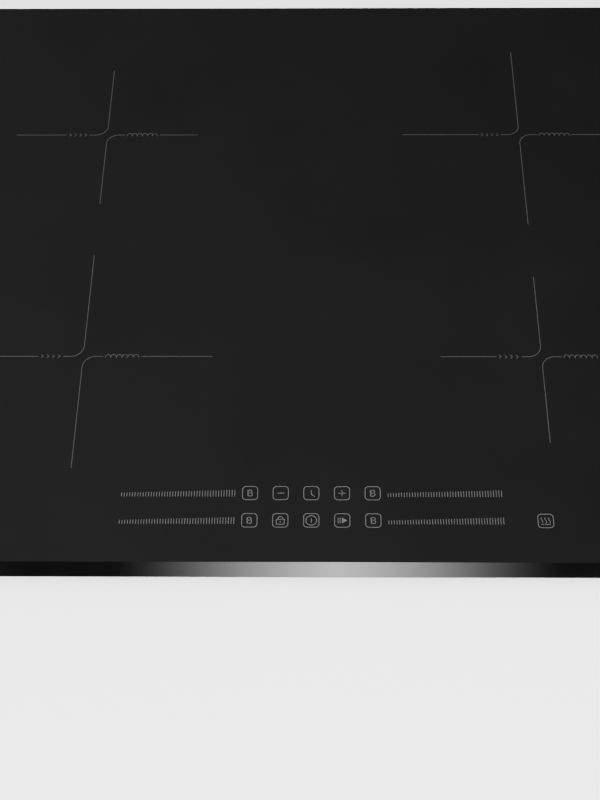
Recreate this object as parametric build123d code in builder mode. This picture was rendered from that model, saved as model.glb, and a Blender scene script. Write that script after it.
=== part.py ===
"""Built-in induction hob for a worktop cut-out: four zones, touch sliders, 590 x 520 mm glass.

The frame: X to the right and Y to the rear as the cook stands in front of it, Z up.
Z = 0 is the worktop's surface, which the seal under the glass rests on. X = Y = 0 is the glass's centre.
Every length is in millimetres.
"""

import os
from math import cos, radians, sin

from build123d import *

# ---- driving dimensions -------------------------------------------------------------------------
GLASS_W, GLASS_D, GLASS_T = 590.0, 520.0, 4.0
GLASS_CORNER, GLASS_ARRIS = 5.0, 0.6
BEVEL_W, BEVEL_DROP = 9.0, 3.2
SEAL_T, SEAL_W, SEAL_INSET = 1.5, 9.0, 4.0

CASE_W, CASE_D, CASE_BOTTOM, SHEET = 554.0, 466.0, -50.0, 1.0
CASE_CORNER, CASE_BEND = 8.0, 3.0
FLOOR = CASE_BOTTOM + SHEET
FRAME_GAP, FRAME_FLANGE, FRAME_SKIRT = 0.2, 5.4, 14.0
BOND_T = 0.5

ZONE_X, ZONE_FRONT_Y, ZONE_REAR_Y = 159.0, -92.0, 117.0
KEY_ROWS, KEY_PITCH, LONE_KEY_X = (-221.0, -200.8), 20.0, 151.0
SLIDER_IN, SLIDER_OUT = 50.0, 124.0

WIRE_D, WIRE_PITCH, WIRE_Z = 2.6, 2.9, -0.9
LARGE_INNER, LARGE_TURNS = 25.0, 22
SMALL_INNER, SMALL_TURNS = 25.0, 15
MICA_TOP, MICA_T = 1.4, 0.9
FORMER_TOP, FORMER_T, RIM_TOP, RIM_OUT, RIM_T = -2.3, 2.4, -0.2, 4.2, 1.5
FERRITE_T, FERRITE_W, FERRITE_IN, FERRITES = 5.0, 12.0, 28.0, 8
LUG_REACH, LUG_R, LUG_HOLE = 11.0, 6.0, 2.5
SENSOR_R = 10.0

PLATE_TOP, PLATE_T = -14.8, 1.2
PLATE_X, PLATE_Y = (14.0, 268.0), (-184.0, 228.0)
PIN_R, PIN_HEAD_R = 2.2, 3.0
SPRING_WIRE, SPRING_R, SPRING_TURNS = 0.9, 3.8, 4.5

BOARD_T, BOARD_Z = 1.6, -42.6
BOARD_TOP = BOARD_Z + BOARD_T
POWER_X, POWER_Y = (30.0, 256.0), (-168.0, 52.0)
FILTER_X, FILTER_Y = (-256.0, -110.0), (58.0, 166.0)
SINK_X, SINK_Y, SINK_TOP = (50.0, 122.0), (-130.0, 26.0), -19.5
SINK_BASE, FIN_T, FINS, FIN_SPAN = 4.0, 1.6, 9, 50.0

FAN_X, FAN_Y, FAN_R, FAN_WALL = 50.0, 138.0, 46.0, 1.6
FAN_BOTTOM, FAN_TOP, FAN_INTAKE, FAN_OUTLET = -48.6, -22.0, 30.0, 40.0
FAN_MOUTH_Y = 82.0
IMPELLER_R, BLADES, SHAFT_R = 38.0, 28, 1.5

CLIP_Y, CLIP_W, CLIP_T = 150.0, 18.0, 0.8
LEAD_R, LEAD_BEND, LEAD_DROP_X = 1.3, 3.0, 40.0
TERM_X, TERM_Y, TERM_TOP, TERM_WALL = (-256.0, -156.0), (170.0, 230.0), -20.0, 1.8
COVER_GAP, COVER_T = 0.6, 2.0
GROMMET_X, GROMMET_Z, GROMMET_BORE = -206.0, -34.0, 6.25

GLASS_TOP = SEAL_T + GLASS_T
SIDES = {"left": -1, "right": 1}
# name: centre x, centre y, inner radius of the winding, turns
ZONES = {
    "front_left": (-ZONE_X, ZONE_FRONT_Y, LARGE_INNER, LARGE_TURNS),
    "front_right": (ZONE_X, ZONE_FRONT_Y, SMALL_INNER, SMALL_TURNS),
    "rear_left": (-ZONE_X, ZONE_REAR_Y, SMALL_INNER, SMALL_TURNS),
    "rear_right": (ZONE_X, ZONE_REAR_Y, LARGE_INNER, LARGE_TURNS),
}

os.makedirs("parts", exist_ok=True)


def save(piece, label):
    """Writes one sub-part under its node's name."""
    piece.part.label = label
    export_step(piece.part, f"parts/{label}.step")


def at(x, y, z):
    """A level plane through a point."""
    return Plane(origin=(x, y, z))


def upright(x, y, z):
    """A plane through a point that faces the front, with its own y pointing up."""
    return Plane(origin=(x, y, z), x_dir=(1, 0, 0), z_dir=(0, -1, 0))


def span(low_high):
    """The middle and the length of a (low, high) pair."""
    return sum(low_high) / 2, low_high[1] - low_high[0]


def mirrored(low_high, side):
    """A (low, high) pair of the right half, on the side asked for."""
    return low_high if side > 0 else (-low_high[1], -low_high[0])


def coil_radius(zone):
    """The outer radius of a zone's winding, to the middle of its last turn."""
    return zone[2] + zone[3] * WIRE_PITCH


# ---- glass, seal and frame ----------------------------------------------------------------------
def make_glass():
    """Glass-ceramic plate: arrised all round, with a wide polished bevel along its front edge."""
    front, slope, beyond = -GLASS_D / 2, BEVEL_DROP / BEVEL_W, 2.0
    with BuildPart() as glass_plate:
        with BuildSketch(Plane.XY.offset(SEAL_T)):
            RectangleRounded(GLASS_W, GLASS_D, GLASS_CORNER)
        extrude(amount=GLASS_T)
        chamfer(glass_plate.faces().sort_by(Axis.Z)[-1].edges(), GLASS_ARRIS)
        chamfer(glass_plate.faces().sort_by(Axis.Z)[0].edges(), GLASS_ARRIS / 2)
        with BuildSketch(Plane.YZ):
            with BuildLine():
                Polyline(
                    (front - beyond, GLASS_TOP - BEVEL_DROP - beyond * slope),
                    (front + BEVEL_W + beyond, GLASS_TOP + beyond * slope),
                    (front - beyond, GLASS_TOP + beyond * slope),
                    close=True,
                )
            make_face()
        extrude(amount=GLASS_W, both=True, mode=Mode.SUBTRACT)
    save(glass_plate, "glass_plate")


def make_seal():
    """Foam tape under the rim of the glass, which seals it to the worktop."""
    width, depth = GLASS_W - 2 * SEAL_INSET, GLASS_D - 2 * SEAL_INSET
    with BuildPart() as seal_tape:
        with BuildSketch():
            RectangleRounded(width, depth, GLASS_CORNER)
            RectangleRounded(
                width - 2 * SEAL_W, depth - 2 * SEAL_W, GLASS_CORNER, mode=Mode.SUBTRACT
            )
        extrude(amount=SEAL_T)
    save(seal_tape, "seal_tape")


def make_bond(width, depth):
    """The bead of silicone that glues the steel frame to the glass."""
    with BuildPart() as bond_silicone:
        with BuildSketch(Plane.XY.offset(SEAL_T - BOND_T)):
            RectangleRounded(width, depth, CASE_CORNER)
            RectangleRounded(
                width - 2 * FRAME_FLANGE,
                depth - 2 * FRAME_FLANGE,
                CASE_CORNER,
                mode=Mode.SUBTRACT,
            )
        extrude(amount=BOND_T)
    save(bond_silicone, "bond_silicone")


SCREW_Z, SCREW_R, HEAD_R, HEAD_T, SCREW_L = -7.0, 1.9, 3.6, 1.8, 6.0
SCREW_X, SCREW_Y = (-210.0, 0.0, 210.0), (-205.0, 0.0, 205.0)


def cut_screw_holes(radius):
    """Rows of round holes through the front, rear and side walls of the part in progress."""
    with BuildSketch(Plane.XZ) as front_rear:
        with Locations(*[(x, SCREW_Z) for x in SCREW_X]):
            Circle(radius)
    extrude(front_rear.sketch, amount=CASE_D, both=True, mode=Mode.SUBTRACT)
    with BuildSketch(Plane.YZ) as sides:
        with Locations(*[(y, SCREW_Z) for y in (*SCREW_Y, -CLIP_Y, CLIP_Y)]):
            Circle(radius)
    extrude(sides.sketch, amount=CASE_W, both=True, mode=Mode.SUBTRACT)


def make_frame(width, depth):
    """Folded steel frame glued under the glass: a level flange and a skirt that the tray screws to."""
    top = SEAL_T - BOND_T
    with BuildPart() as glass_frame:
        with BuildSketch(Plane.XY.offset(top - FRAME_SKIRT)):
            RectangleRounded(width, depth, CASE_CORNER)
            RectangleRounded(
                width - 2 * SHEET, depth - 2 * SHEET, CASE_CORNER - SHEET, mode=Mode.SUBTRACT
            )
        extrude(amount=FRAME_SKIRT)
        with BuildSketch(Plane.XY.offset(top - SHEET)):
            RectangleRounded(width, depth, CASE_CORNER)
            RectangleRounded(
                width - 2 * FRAME_FLANGE,
                depth - 2 * FRAME_FLANGE,
                CASE_CORNER,
                mode=Mode.SUBTRACT,
            )
        extrude(amount=SHEET)
        cut_screw_holes(SCREW_R + 0.1)
    save(glass_frame, "glass_frame")


# ---- tray ---------------------------------------------------------------------------------------
RIB_W, RIB_H = 14.0, 2.0
# centre x, centre y, length, angle of each stiffening rib pressed into the floor
RIBS = (
    (-135.0, -80.0, 190.0, 90.0),
    (135.0, -80.0, 190.0, 90.0),
    (0.0, -212.0, 430.0, 0.0),
    (0.0, 30.0, 130.0, 0.0),
    (-215.0, 20.0, 150.0, 90.0),
    (225.0, 20.0, 150.0, 90.0),
)
LABEL_AT, LABEL_SIZE, LABEL_T = (185.0, 160.0), (104.0, 64.0), 0.2
GRILLE_RINGS, GRILLE_SLOT, GRILLE_STEP, GRILLE_SPOKES = 4, 4.2, 7.4, 4
VENT_W, VENT_H, VENT_PITCH, VENT_Z = 3.2, 22.0, 7.0, -33.0
FRONT_VENTS, REAR_VENTS = 22, 18
WINDOW_Z, WINDOW_H = (-46.0, -20.0), 26.0


def vent_row(centres, count):
    """A row of upright slots round each centre, drawn on an X-Z plane."""
    with Locations(*[(x, VENT_Z) for x in centres]):
        with GridLocations(VENT_PITCH, 0, count, 1):
            SlotOverall(VENT_H, VENT_W, rotation=90)


def make_tray():
    """Pressed steel tray: ribs, fan grilles, vents, windows for the clips and the terminal cover."""
    with BuildPart() as base_tray:
        with BuildSketch(Plane.XY.offset(CASE_BOTTOM)):
            RectangleRounded(CASE_W, CASE_D, CASE_CORNER)
        extrude(amount=-CASE_BOTTOM)
        fillet(base_tray.faces().sort_by(Axis.Z)[0].edges(), CASE_BEND)
        offset(amount=-SHEET, openings=base_tray.faces().sort_by(Axis.Z)[-1])
        # each rib and the label's panel is a step up: metal above it, a hollow below it
        with BuildSketch(Plane.XY.offset(FLOOR)):
            for x, y, length, angle in RIBS:
                with Locations((x, y)):
                    SlotOverall(length + 2 * SHEET, RIB_W + 2 * SHEET, rotation=angle)
            with Locations(LABEL_AT):
                RectangleRounded(*[v + 2 * SHEET for v in LABEL_SIZE], 5 + SHEET)
        extrude(amount=RIB_H)
        with BuildSketch(Plane.XY.offset(CASE_BOTTOM)):
            for x, y, length, angle in RIBS:
                with Locations((x, y)):
                    SlotOverall(length, RIB_W, rotation=angle)
            with Locations(LABEL_AT):
                RectangleRounded(*LABEL_SIZE, 5)
        extrude(amount=RIB_H, mode=Mode.SUBTRACT)
        # a round grille under each fan: ring slots bridged by spokes
        with BuildSketch(Plane.XY.offset(CASE_BOTTOM)):
            with Locations((-FAN_X, FAN_Y), (FAN_X, FAN_Y)):
                for ring in reversed(range(GRILLE_RINGS)):
                    outer = GRILLE_STEP * (ring + 1) + GRILLE_SLOT / 2
                    Circle(outer)
                    Circle(outer - GRILLE_SLOT, mode=Mode.SUBTRACT)
                with PolarLocations(0, GRILLE_SPOKES, angular_range=180):
                    Rectangle(2 * FAN_R, GRILLE_SLOT, mode=Mode.SUBTRACT)
        extrude(amount=SHEET, mode=Mode.SUBTRACT)
        # the terminal cover's window
        with BuildSketch(at(span(TERM_X)[0], span(COVER_Y)[0], CASE_BOTTOM)):
            Rectangle(span(TERM_X)[1] - 2 * TERM_WALL, span(COVER_Y)[1])
        extrude(amount=SHEET, mode=Mode.SUBTRACT)
        # air leaves at the front and, beside the cable's hole, at the rear
        with BuildSketch(Plane.XZ.offset(CASE_D / 2)):
            vent_row((-135.0, 135.0), FRONT_VENTS)
        extrude(amount=-2 * SHEET, mode=Mode.SUBTRACT)
        with BuildSketch(Plane.XZ.offset(-CASE_D / 2)):
            vent_row((0.0, 165.0), REAR_VENTS)
            with Locations((GROMMET_X, GROMMET_Z)):
                Circle(GROMMET_NECK)
        extrude(amount=2 * SHEET, mode=Mode.SUBTRACT)
        with BuildSketch(Plane.YZ):
            with Locations(*[(y, sum(WINDOW_Z) / 2) for y in (-CLIP_Y, CLIP_Y)]):
                Rectangle(CLIP_W + 4, WINDOW_H)
        extrude(amount=CASE_W, both=True, mode=Mode.SUBTRACT)
        cut_screw_holes(SCREW_R + 0.1)
    save(base_tray, "base_tray")


def make_label():
    """Blank foil rating plate, in the floor's recessed panel."""
    with BuildPart() as rating_plate:
        with BuildSketch(at(*LABEL_AT, CASE_BOTTOM + RIB_H - LABEL_T)):
            RectangleRounded(*[v - 8 for v in LABEL_SIZE], 3)
        extrude(amount=LABEL_T)
    save(rating_plate, "rating_plate")


def make_screws():
    """The pan-head screws that hold the tray and the clips to the glass's frame."""
    wall = {"x": CASE_W / 2, "y": CASE_D / 2}
    places = [(x, s * wall["y"], (0, s, 0)) for x in SCREW_X for s in (-1, 1)]
    places += [(s * wall["x"], y, (s, 0, 0)) for y in SCREW_Y for s in (-1, 1)]
    out = wall["x"] + CLIP_T
    places += [(s * out, y, (s, 0, 0)) for y in (-CLIP_Y, CLIP_Y) for s in (-1, 1)]
    with BuildPart() as case_screws:
        for x, y, outward in places:
            seat = Plane(origin=(x, y, SCREW_Z), z_dir=outward)
            with BuildSketch(seat):
                Circle(HEAD_R)
            extrude(amount=HEAD_T, taper=14)
            with BuildSketch(seat):
                Circle(SCREW_R)
            extrude(amount=-SCREW_L)
            with BuildSketch(seat.offset(HEAD_T)):
                Rectangle(3.6, 0.8)
                Rectangle(0.8, 3.6)
            extrude(amount=-1.1, mode=Mode.SUBTRACT)
    save(case_screws, "case_screws")


# ---- coils --------------------------------------------------------------------------------------
def facing(zone):
    """The signs that point a zone's lead-outs to the hob's middle: in x, and in y."""
    return (1 if zone[0] < 0 else -1), (1 if zone[1] < 0 else -1)


def make_winding(name, zone):
    """Flat spiral of litz wire, as half turns whose centres alternate, with a crimp at each end."""
    x, y, inner, turns = zone
    along, across = facing(zone)
    step = WIRE_PITCH / 2
    plane = Plane(origin=(x, y, WIRE_Z), x_dir=(along, 0, 0), z_dir=(0, 0, along * across))
    with BuildPart() as winding:
        with BuildLine(plane):
            for half in range(2 * turns):
                shift, radius = (half % 2) * step, inner + half * step
                CenterArc((shift, 0), radius, 180 * (half % 2), 180)
        with BuildSketch(Plane(origin=plane.from_local_coords((inner, 0, 0)), z_dir=plane.y_dir)):
            RegularPolygon(WIRE_D / 2, 8, rotation=22.5)
        sweep()
        for cx, cy in ((inner - 0.8, -2.0), (inner + turns * WIRE_PITCH + 0.7, 2.0)):
            with BuildSketch(at(*plane.from_local_coords((cx, cy, 0)))):
                Circle(1.95)
            extrude(amount=1.3, both=True)
    save(winding, f"coil_winding_{name}")


def lug_places(zone):
    """The three points round a zone's coil where its spring lugs stand."""
    reach = coil_radius(zone) + RIM_OUT + LUG_REACH - LUG_R
    turn = 90 if zone[1] < 0 else -90
    return [
        (zone[0] + reach * cos(radians(a)), zone[1] + reach * sin(radians(a)))
        for a in (turn, turn + 120, turn - 120)
    ]


def make_former(name, zone):
    """Moulded carrier: a ribbed disc with hub and rim, spring lugs, and gaps for the lead-outs."""
    x, y, inner, _ = zone
    along, across = facing(zone)
    outer = coil_radius(zone) + RIM_OUT
    under = FORMER_TOP - FORMER_T
    with BuildPart() as former:
        with BuildSketch(at(x, y, under)):
            Circle(outer)
            for lx, ly in lug_places(zone):
                with Locations((lx - x, ly - y), ((lx - x) * 0.93, (ly - y) * 0.93)):
                    Circle(LUG_R)
        extrude(amount=FORMER_T)
        with BuildSketch(at(x, y, FORMER_TOP)):
            Circle(outer)
            Circle(outer - RIM_T, mode=Mode.SUBTRACT)
            Circle(inner - 4)
        extrude(amount=RIM_TOP - FORMER_TOP)
        # openings: the sensor's hole, the slots between the spokes, and where the leads pass
        with BuildSketch(at(x, y, under)):
            Circle(SENSOR_R + 0.2)
            with PolarLocations((inner + outer) / 2, FERRITES):
                SlotOverall((outer - inner) * 0.62, 7.0)
            for lx, ly in lug_places(zone):
                with Locations((lx - x, ly - y)):
                    Circle(LUG_HOLE)
            with Locations((along * (inner - 0.8), -across * 2.0)):
                Circle(2.6)
        extrude(amount=RIM_TOP - under, mode=Mode.SUBTRACT)
        with BuildSketch(at(x + along * (outer - 3), y + across * outer * 0.25, FORMER_TOP)):
            Rectangle(15, outer * 0.5)
        extrude(amount=RIM_TOP - FORMER_TOP, mode=Mode.SUBTRACT)
    save(former, f"coil_former_{name}")


def make_ferrites(name, zone):
    """Ferrite bars glued under the former like the spokes of a wheel."""
    x, y, _, _ = zone
    length = coil_radius(zone) - FERRITE_IN
    top = FORMER_TOP - FORMER_T - 0.1
    with BuildPart() as ferrites:
        with BuildSketch(at(x, y, top - FERRITE_T)):
            with PolarLocations(FERRITE_IN + length / 2, FERRITES, 180 / FERRITES):
                Rectangle(length, FERRITE_W)
        extrude(amount=FERRITE_T)
    save(ferrites, f"coil_ferrites_{name}")


def make_mica(name, zone):
    """Mica sheet between the winding and the glass."""
    with BuildPart() as mica:
        with BuildSketch(at(zone[0], zone[1], MICA_TOP - MICA_T)):
            Circle(coil_radius(zone) + RIM_OUT)
            Circle(SENSOR_R - 2, mode=Mode.SUBTRACT)
        extrude(amount=MICA_T)
    save(mica, f"coil_mica_{name}")


def make_sensor(name, zone):
    """Thermistor in a silicone boot that the mica's hole lets touch the glass."""
    under = FORMER_TOP - FORMER_T
    with BuildPart() as sensor:
        with BuildSketch(upright(zone[0], zone[1], 0)):
            with BuildLine():
                Polyline(
                    (0, under - 3.4),
                    (SENSOR_R + 3, under - 3.4),
                    (SENSOR_R + 3, under - 0.1),
                    (SENSOR_R, under - 0.1),
                    (SENSOR_R, RIM_TOP),
                    (SENSOR_R - 3, RIM_TOP),
                    (4.0, MICA_TOP - 0.2),
                    (2.4, MICA_TOP),
                    (0, MICA_TOP),
                    close=True,
                )
            make_face()
        revolve(axis=Axis((zone[0], zone[1], 0), (0, 0, 1)))
    save(sensor, f"coil_sensor_{name}")


def make_springs():
    """Three compression springs under each coil, which press it up against the glass."""
    low = PLATE_TOP + SPRING_WIRE / 2
    high = FORMER_TOP - FORMER_T - SPRING_WIRE / 2
    with BuildPart() as coil_springs:
        for zone in ZONES.values():
            for x, y in lug_places(zone):
                with BuildLine():
                    Helix((high - low) / SPRING_TURNS, high - low, SPRING_R, center=(x, y, low))
                with BuildSketch(upright(x + SPRING_R, y, low)):
                    RegularPolygon(SPRING_WIRE / 2 - 0.02, 6)
                sweep(is_frenet=True)
    save(coil_springs, "coil_springs")


def make_pins():
    """Guide pins riveted to the coil plates: the lugs slide on them inside the springs."""
    with BuildPart() as guide_pins:
        for zone in ZONES.values():
            for x, y in lug_places(zone):
                with BuildSketch(at(x, y, PLATE_TOP - PLATE_T)):
                    Circle(PIN_R)
                extrude(amount=RIM_TOP - PLATE_TOP + PLATE_T)
                with BuildSketch(at(x, y, RIM_TOP - 0.9)):
                    Circle(PIN_HEAD_R)
                extrude(amount=0.9)
                with BuildSketch(at(x, y, PLATE_TOP - PLATE_T - 0.8)):
                    Circle(PIN_HEAD_R + 0.5)
                extrude(amount=0.8)
    save(guide_pins, "guide_pins")


# ---- coil plates --------------------------------------------------------------------------------
LEG_W, FOOT = 30.0, 10.0
OUTER_LEGS_Y, INNER_LEGS_Y = (-95.0, 60.0, 200.0), (-150.0, 72.0)


def lead_holes(side):
    """Where the leads of one side's two coils drop through the coil plate."""
    zones = [z for z in ZONES.values() if z[0] * side > 0]
    return [(side * LEAD_DROP_X, y) for z in zones for y in lead_drops(z)]


def lead_drops(zone):
    """The y of a zone's two lead ends on its power board."""
    return (-52.0, -94.0) if zone[1] < 0 else (36.0, 6.0)


def make_coil_plate(name, side):
    """Aluminium sheet on folded legs, which carries two coils and shields the electronics below."""
    (mid_x, width), (mid_y, depth) = span(mirrored(PLATE_X, side)), span(PLATE_Y)
    inner, outer = side * PLATE_X[0], side * PLATE_X[1]
    under = PLATE_TOP - PLATE_T
    with BuildPart() as coil_plate:
        with BuildSketch(at(mid_x, mid_y, under)):
            RectangleRounded(width, depth, 8)
        extrude(amount=PLATE_T)
        legs = [(outer - side * PLATE_T / 2, y, -side) for y in OUTER_LEGS_Y]
        legs += [(inner + side * PLATE_T / 2, y, -side) for y in INNER_LEGS_Y]
        for x, y, turn in legs:
            with BuildSketch(at(x, y, FLOOR)):
                Rectangle(PLATE_T, LEG_W)
            extrude(amount=under - FLOOR)
            with BuildSketch(at(x + turn * (FOOT - PLATE_T) / 2, y, FLOOR)):
                Rectangle(FOOT, LEG_W)
            extrude(amount=PLATE_T)
        with BuildSketch(Plane.XY.offset(under)):
            for zone in (z for z in ZONES.values() if z[0] * side > 0):
                with Locations((zone[0], zone[1])):
                    Circle(SENSOR_R + 6)
                    with PolarLocations(coil_radius(zone) * 0.66, FERRITES):
                        Circle(5)
                with Locations(*lug_places(zone)):
                    Circle(PIN_R)
            with Locations(*lead_holes(side)):
                Circle(LEAD_R + 2.4)
        extrude(amount=PLATE_T, mode=Mode.SUBTRACT)
    save(coil_plate, f"coil_plate_{name}")


# ---- leads --------------------------------------------------------------------------------------
TERMINAL, TERMINAL_H = 9.0, 7.0


def sweep_tube(points, radius, bend):
    """A round tube along straight runs joined by arcs, added to the part in progress."""
    with BuildLine() as route:
        FilletPolyline(*points, radius=bend)
    with BuildSketch(Plane(origin=route.line @ 0, z_dir=route.line % 0)) as section:
        Circle(radius)
    sweep(section.sketch, path=route.line)


def make_leads():
    """The sleeved leads from each coil down to the screw blocks on its power board."""
    block_top = BOARD_TOP + TERMINAL_H
    with BuildPart() as coil_leads:
        for zone in ZONES.values():
            x, y, inner, _ = zone
            along, across = facing(zone)
            radius = coil_radius(zone)
            drop_x = -along * LEAD_DROP_X
            near_y, far_y = lead_drops(zone)
            low = FORMER_TOP - FORMER_T - LEAD_R - 0.9
            sweep_tube(
                (
                    (x + along * (radius + 0.7), y + across * 4.0, WIRE_Z),
                    (x + along * (radius + 0.7), y + across * 22.0, WIRE_Z),
                    (x + along * (radius + 11), y + across * 36.0, WIRE_Z),
                    (drop_x, near_y, WIRE_Z - 3.0),
                    (drop_x, near_y, block_top),
                ),
                LEAD_R,
                LEAD_BEND,
            )
            sweep_tube(
                (
                    (x + along * (inner - 0.8), y - across * 2.0, FORMER_TOP),
                    (x + along * (inner - 0.8), y - across * 2.0, low),
                    (x + along * (radius + 6), y - across * 2.0, low),
                    (drop_x, far_y, low - 1.0),
                    (drop_x, far_y, block_top),
                ),
                LEAD_R,
                LEAD_BEND,
            )
            for block_y in lead_drops(zone):
                with BuildSketch(at(drop_x, block_y, BOARD_TOP)):
                    RectangleRounded(TERMINAL, TERMINAL, 1.5)
                extrude(amount=TERMINAL_H)
    save(coil_leads, "coil_leads")


# ---- boards -------------------------------------------------------------------------------------
HOLE_INSET, SUPPORT_R, NECK_R = 6.0, 3.5, 1.8


def board_corners(x_span, y_span):
    """The four mounting holes of a board."""
    return [
        (x, y)
        for x in (x_span[0] + HOLE_INSET, x_span[1] - HOLE_INSET)
        for y in (y_span[0] + HOLE_INSET, y_span[1] - HOLE_INSET)
    ]


def make_board(label, x_span, y_span):
    """Bare circuit board with a mounting hole in each corner."""
    (mid_x, width), (mid_y, depth) = span(x_span), span(y_span)
    with BuildPart() as board:
        with BuildSketch(at(mid_x, mid_y, BOARD_Z)):
            RectangleRounded(width, depth, 2)
            with Locations(*[(x - mid_x, y - mid_y) for x, y in board_corners(x_span, y_span)]):
                Circle(NECK_R + 0.1, mode=Mode.SUBTRACT)
        extrude(amount=BOARD_T)
    save(board, label)


def make_supports():
    """Nylon snap-in supports that hold the three boards off the floor."""
    boards = [(mirrored(POWER_X, s), POWER_Y) for s in SIDES.values()] + [(FILTER_X, FILTER_Y)]
    with BuildPart() as board_supports:
        for x, y in [p for b in boards for p in board_corners(*b)]:
            with BuildSketch(at(x, y, FLOOR)):
                Circle(SUPPORT_R)
            extrude(amount=BOARD_Z - FLOOR)
            with BuildSketch(at(x, y, BOARD_Z)):
                Circle(NECK_R)
            extrude(amount=BOARD_T)
            with BuildSketch(at(x, y, BOARD_TOP)):
                Circle(NECK_R + 0.9)
            extrude(amount=2.4, taper=18)
    save(board_supports, "board_supports")


def make_heat_sinks():
    """One aluminium extrusion per power board: a base with upright fins, along the fan's air path."""
    (mid_y, length), bottom = span(SINK_Y), BOARD_TOP + 0.2
    with BuildPart() as heat_sinks:
        for side in SIDES.values():
            (mid_x, width) = span(mirrored(SINK_X, side))
            with BuildSketch(at(mid_x, mid_y, bottom)):
                Rectangle(width, length)
            extrude(amount=SINK_BASE)
            fins_x = side * (SINK_X[0] + FIN_SPAN / 2)
            with BuildSketch(at(fins_x, mid_y, bottom + SINK_BASE)):
                with GridLocations((FIN_SPAN - FIN_T) / (FINS - 1), 0, FINS, 1):
                    Rectangle(FIN_T, length)
            extrude(amount=SINK_TOP - bottom - SINK_BASE)
    save(heat_sinks, "heat_sinks")


TRANSISTOR, TRANSISTORS_Y = (16.0, 20.0, 5.0), (-112.0, -86.0, -40.0, -14.0)
RECTIFIER, RECTIFIER_Y = (18.0, 26.0, 5.0), -63.0


def make_semiconductors():
    """Four power transistors and a bridge rectifier, flat on each heat sink's flange."""
    seat = BOARD_TOP + 0.2 + SINK_BASE
    with BuildPart() as power_semiconductors:
        for side in SIDES.values():
            x = side * (SINK_X[0] + FIN_SPAN + 11.0)
            edge = side * (SINK_X[1] + 3.0)
            for y in TRANSISTORS_Y:
                with BuildSketch(at(x, y, seat)):
                    Rectangle(TRANSISTOR[0], TRANSISTOR[1])
                extrude(amount=TRANSISTOR[2])
                with BuildSketch(at(edge, y, seat + 2.0)):
                    with GridLocations(0, 5.4, 1, 3):
                        Rectangle(12.0, 1.4)
                extrude(amount=0.7)
                with BuildSketch(at(edge + side * 5.3, y, BOARD_TOP)):
                    with GridLocations(0, 5.4, 1, 3):
                        Rectangle(1.4, 1.4)
                extrude(amount=seat + 2.0 - BOARD_TOP)
            with BuildSketch(at(x, RECTIFIER_Y, seat)):
                Rectangle(RECTIFIER[0], RECTIFIER[1])
            extrude(amount=RECTIFIER[2])
    save(power_semiconductors, "power_semiconductors")


# x from the middle, y, width, depth, height of each film capacitor on a power board
CAPACITORS = (
    (150.0, -112.0, 18.0, 32.0, 20.0),
    (150.0, -74.0, 18.0, 32.0, 20.0),
    (176.0, -112.0, 18.0, 32.0, 20.0),
    (176.0, -74.0, 18.0, 32.0, 20.0),
    (162.0, 20.0, 32.0, 20.0, 21.0),
)
CANS_X, CANS_Y, CAN_R, CAN_H = 236.0, (-60.0, -38.0, -16.0), 8.0, 20.0


def make_capacitors():
    """Film capacitors in square cases and electrolytic cans on each power board."""
    with BuildPart() as power_capacitors:
        for side in SIDES.values():
            for x, y, width, depth, height in CAPACITORS:
                with BuildSketch(at(side * x, y, BOARD_TOP)):
                    RectangleRounded(width, depth, 1)
                extrude(amount=height)
            for y in CANS_Y:
                with BuildSketch(at(side * CANS_X, y, BOARD_TOP)):
                    Circle(CAN_R)
                extrude(amount=CAN_H)
                with BuildSketch(at(side * CANS_X, y, BOARD_TOP + CAN_H - 0.4)):
                    Rectangle(2 * CAN_R - 4, 0.5)
                    Rectangle(0.5, 2 * CAN_R - 4)
                extrude(amount=0.4, mode=Mode.SUBTRACT)
    save(power_capacitors, "power_capacitors")


CHOKE_AT, CHOKE_R, CHOKE_CORE = (212.0, 22.0), 12.0, 5.0


def add_toroid(x, y, ring, core):
    """A ring core lying on its board under a winding, as a ridged torus."""
    with BuildSketch(upright(x, y, BOARD_TOP + core + 1.2)) as section:
        with Locations((ring, 0)):
            RectangleRounded(2 * core - 2, 2 * core - 2, 2.0)
    revolve(section.sketch, axis=Axis((x, y, 0), (0, 0, 1)))
    with BuildSketch(at(x, y, BOARD_TOP + 0.2)) as turns:
        with PolarLocations(ring, 18):
            Rectangle(2 * core + 1.6, 2.0)
    extrude(turns.sketch, amount=2 * core + 1.8)


def make_chokes():
    """The wound ring choke in each power board's supply."""
    with BuildPart() as power_chokes:
        for side in SIDES.values():
            add_toroid(side * CHOKE_AT[0], CHOKE_AT[1], CHOKE_R, CHOKE_CORE)
    save(power_chokes, "power_chokes")


def make_filter_parts():
    """Mains filter: two wound ring chokes, two film capacitors, a fuse and a varistor."""
    with BuildPart() as filter_parts:
        add_toroid(-226.0, 90.0, 13.0, 6.0)
        add_toroid(-184.0, 90.0, 13.0, 6.0)
        for x, y, width, depth, height in (
            (-226.0, 134.0, 32.0, 16.0, 20.0),
            (-186.0, 134.0, 32.0, 14.0, 18.0),
            (-148.0, 82.0, 8.0, 26.0, 9.0),
            (-130.0, 82.0, 8.0, 26.0, 9.0),
        ):
            with BuildSketch(at(x, y, BOARD_TOP)):
                RectangleRounded(width, depth, 1)
            extrude(amount=height)
        with BuildSketch(upright(-148.0, 134.0, BOARD_TOP + 8.0)):
            Circle(7.0)
        extrude(amount=2.0, both=True)
    save(filter_parts, "filter_parts")


# ---- fans ---------------------------------------------------------------------------------------
MOTOR_R, MOTOR_H, HUB_R = 12.0, 13.0, 16.0
HUB_TOP = FAN_TOP - FAN_WALL - 2.0


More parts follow.
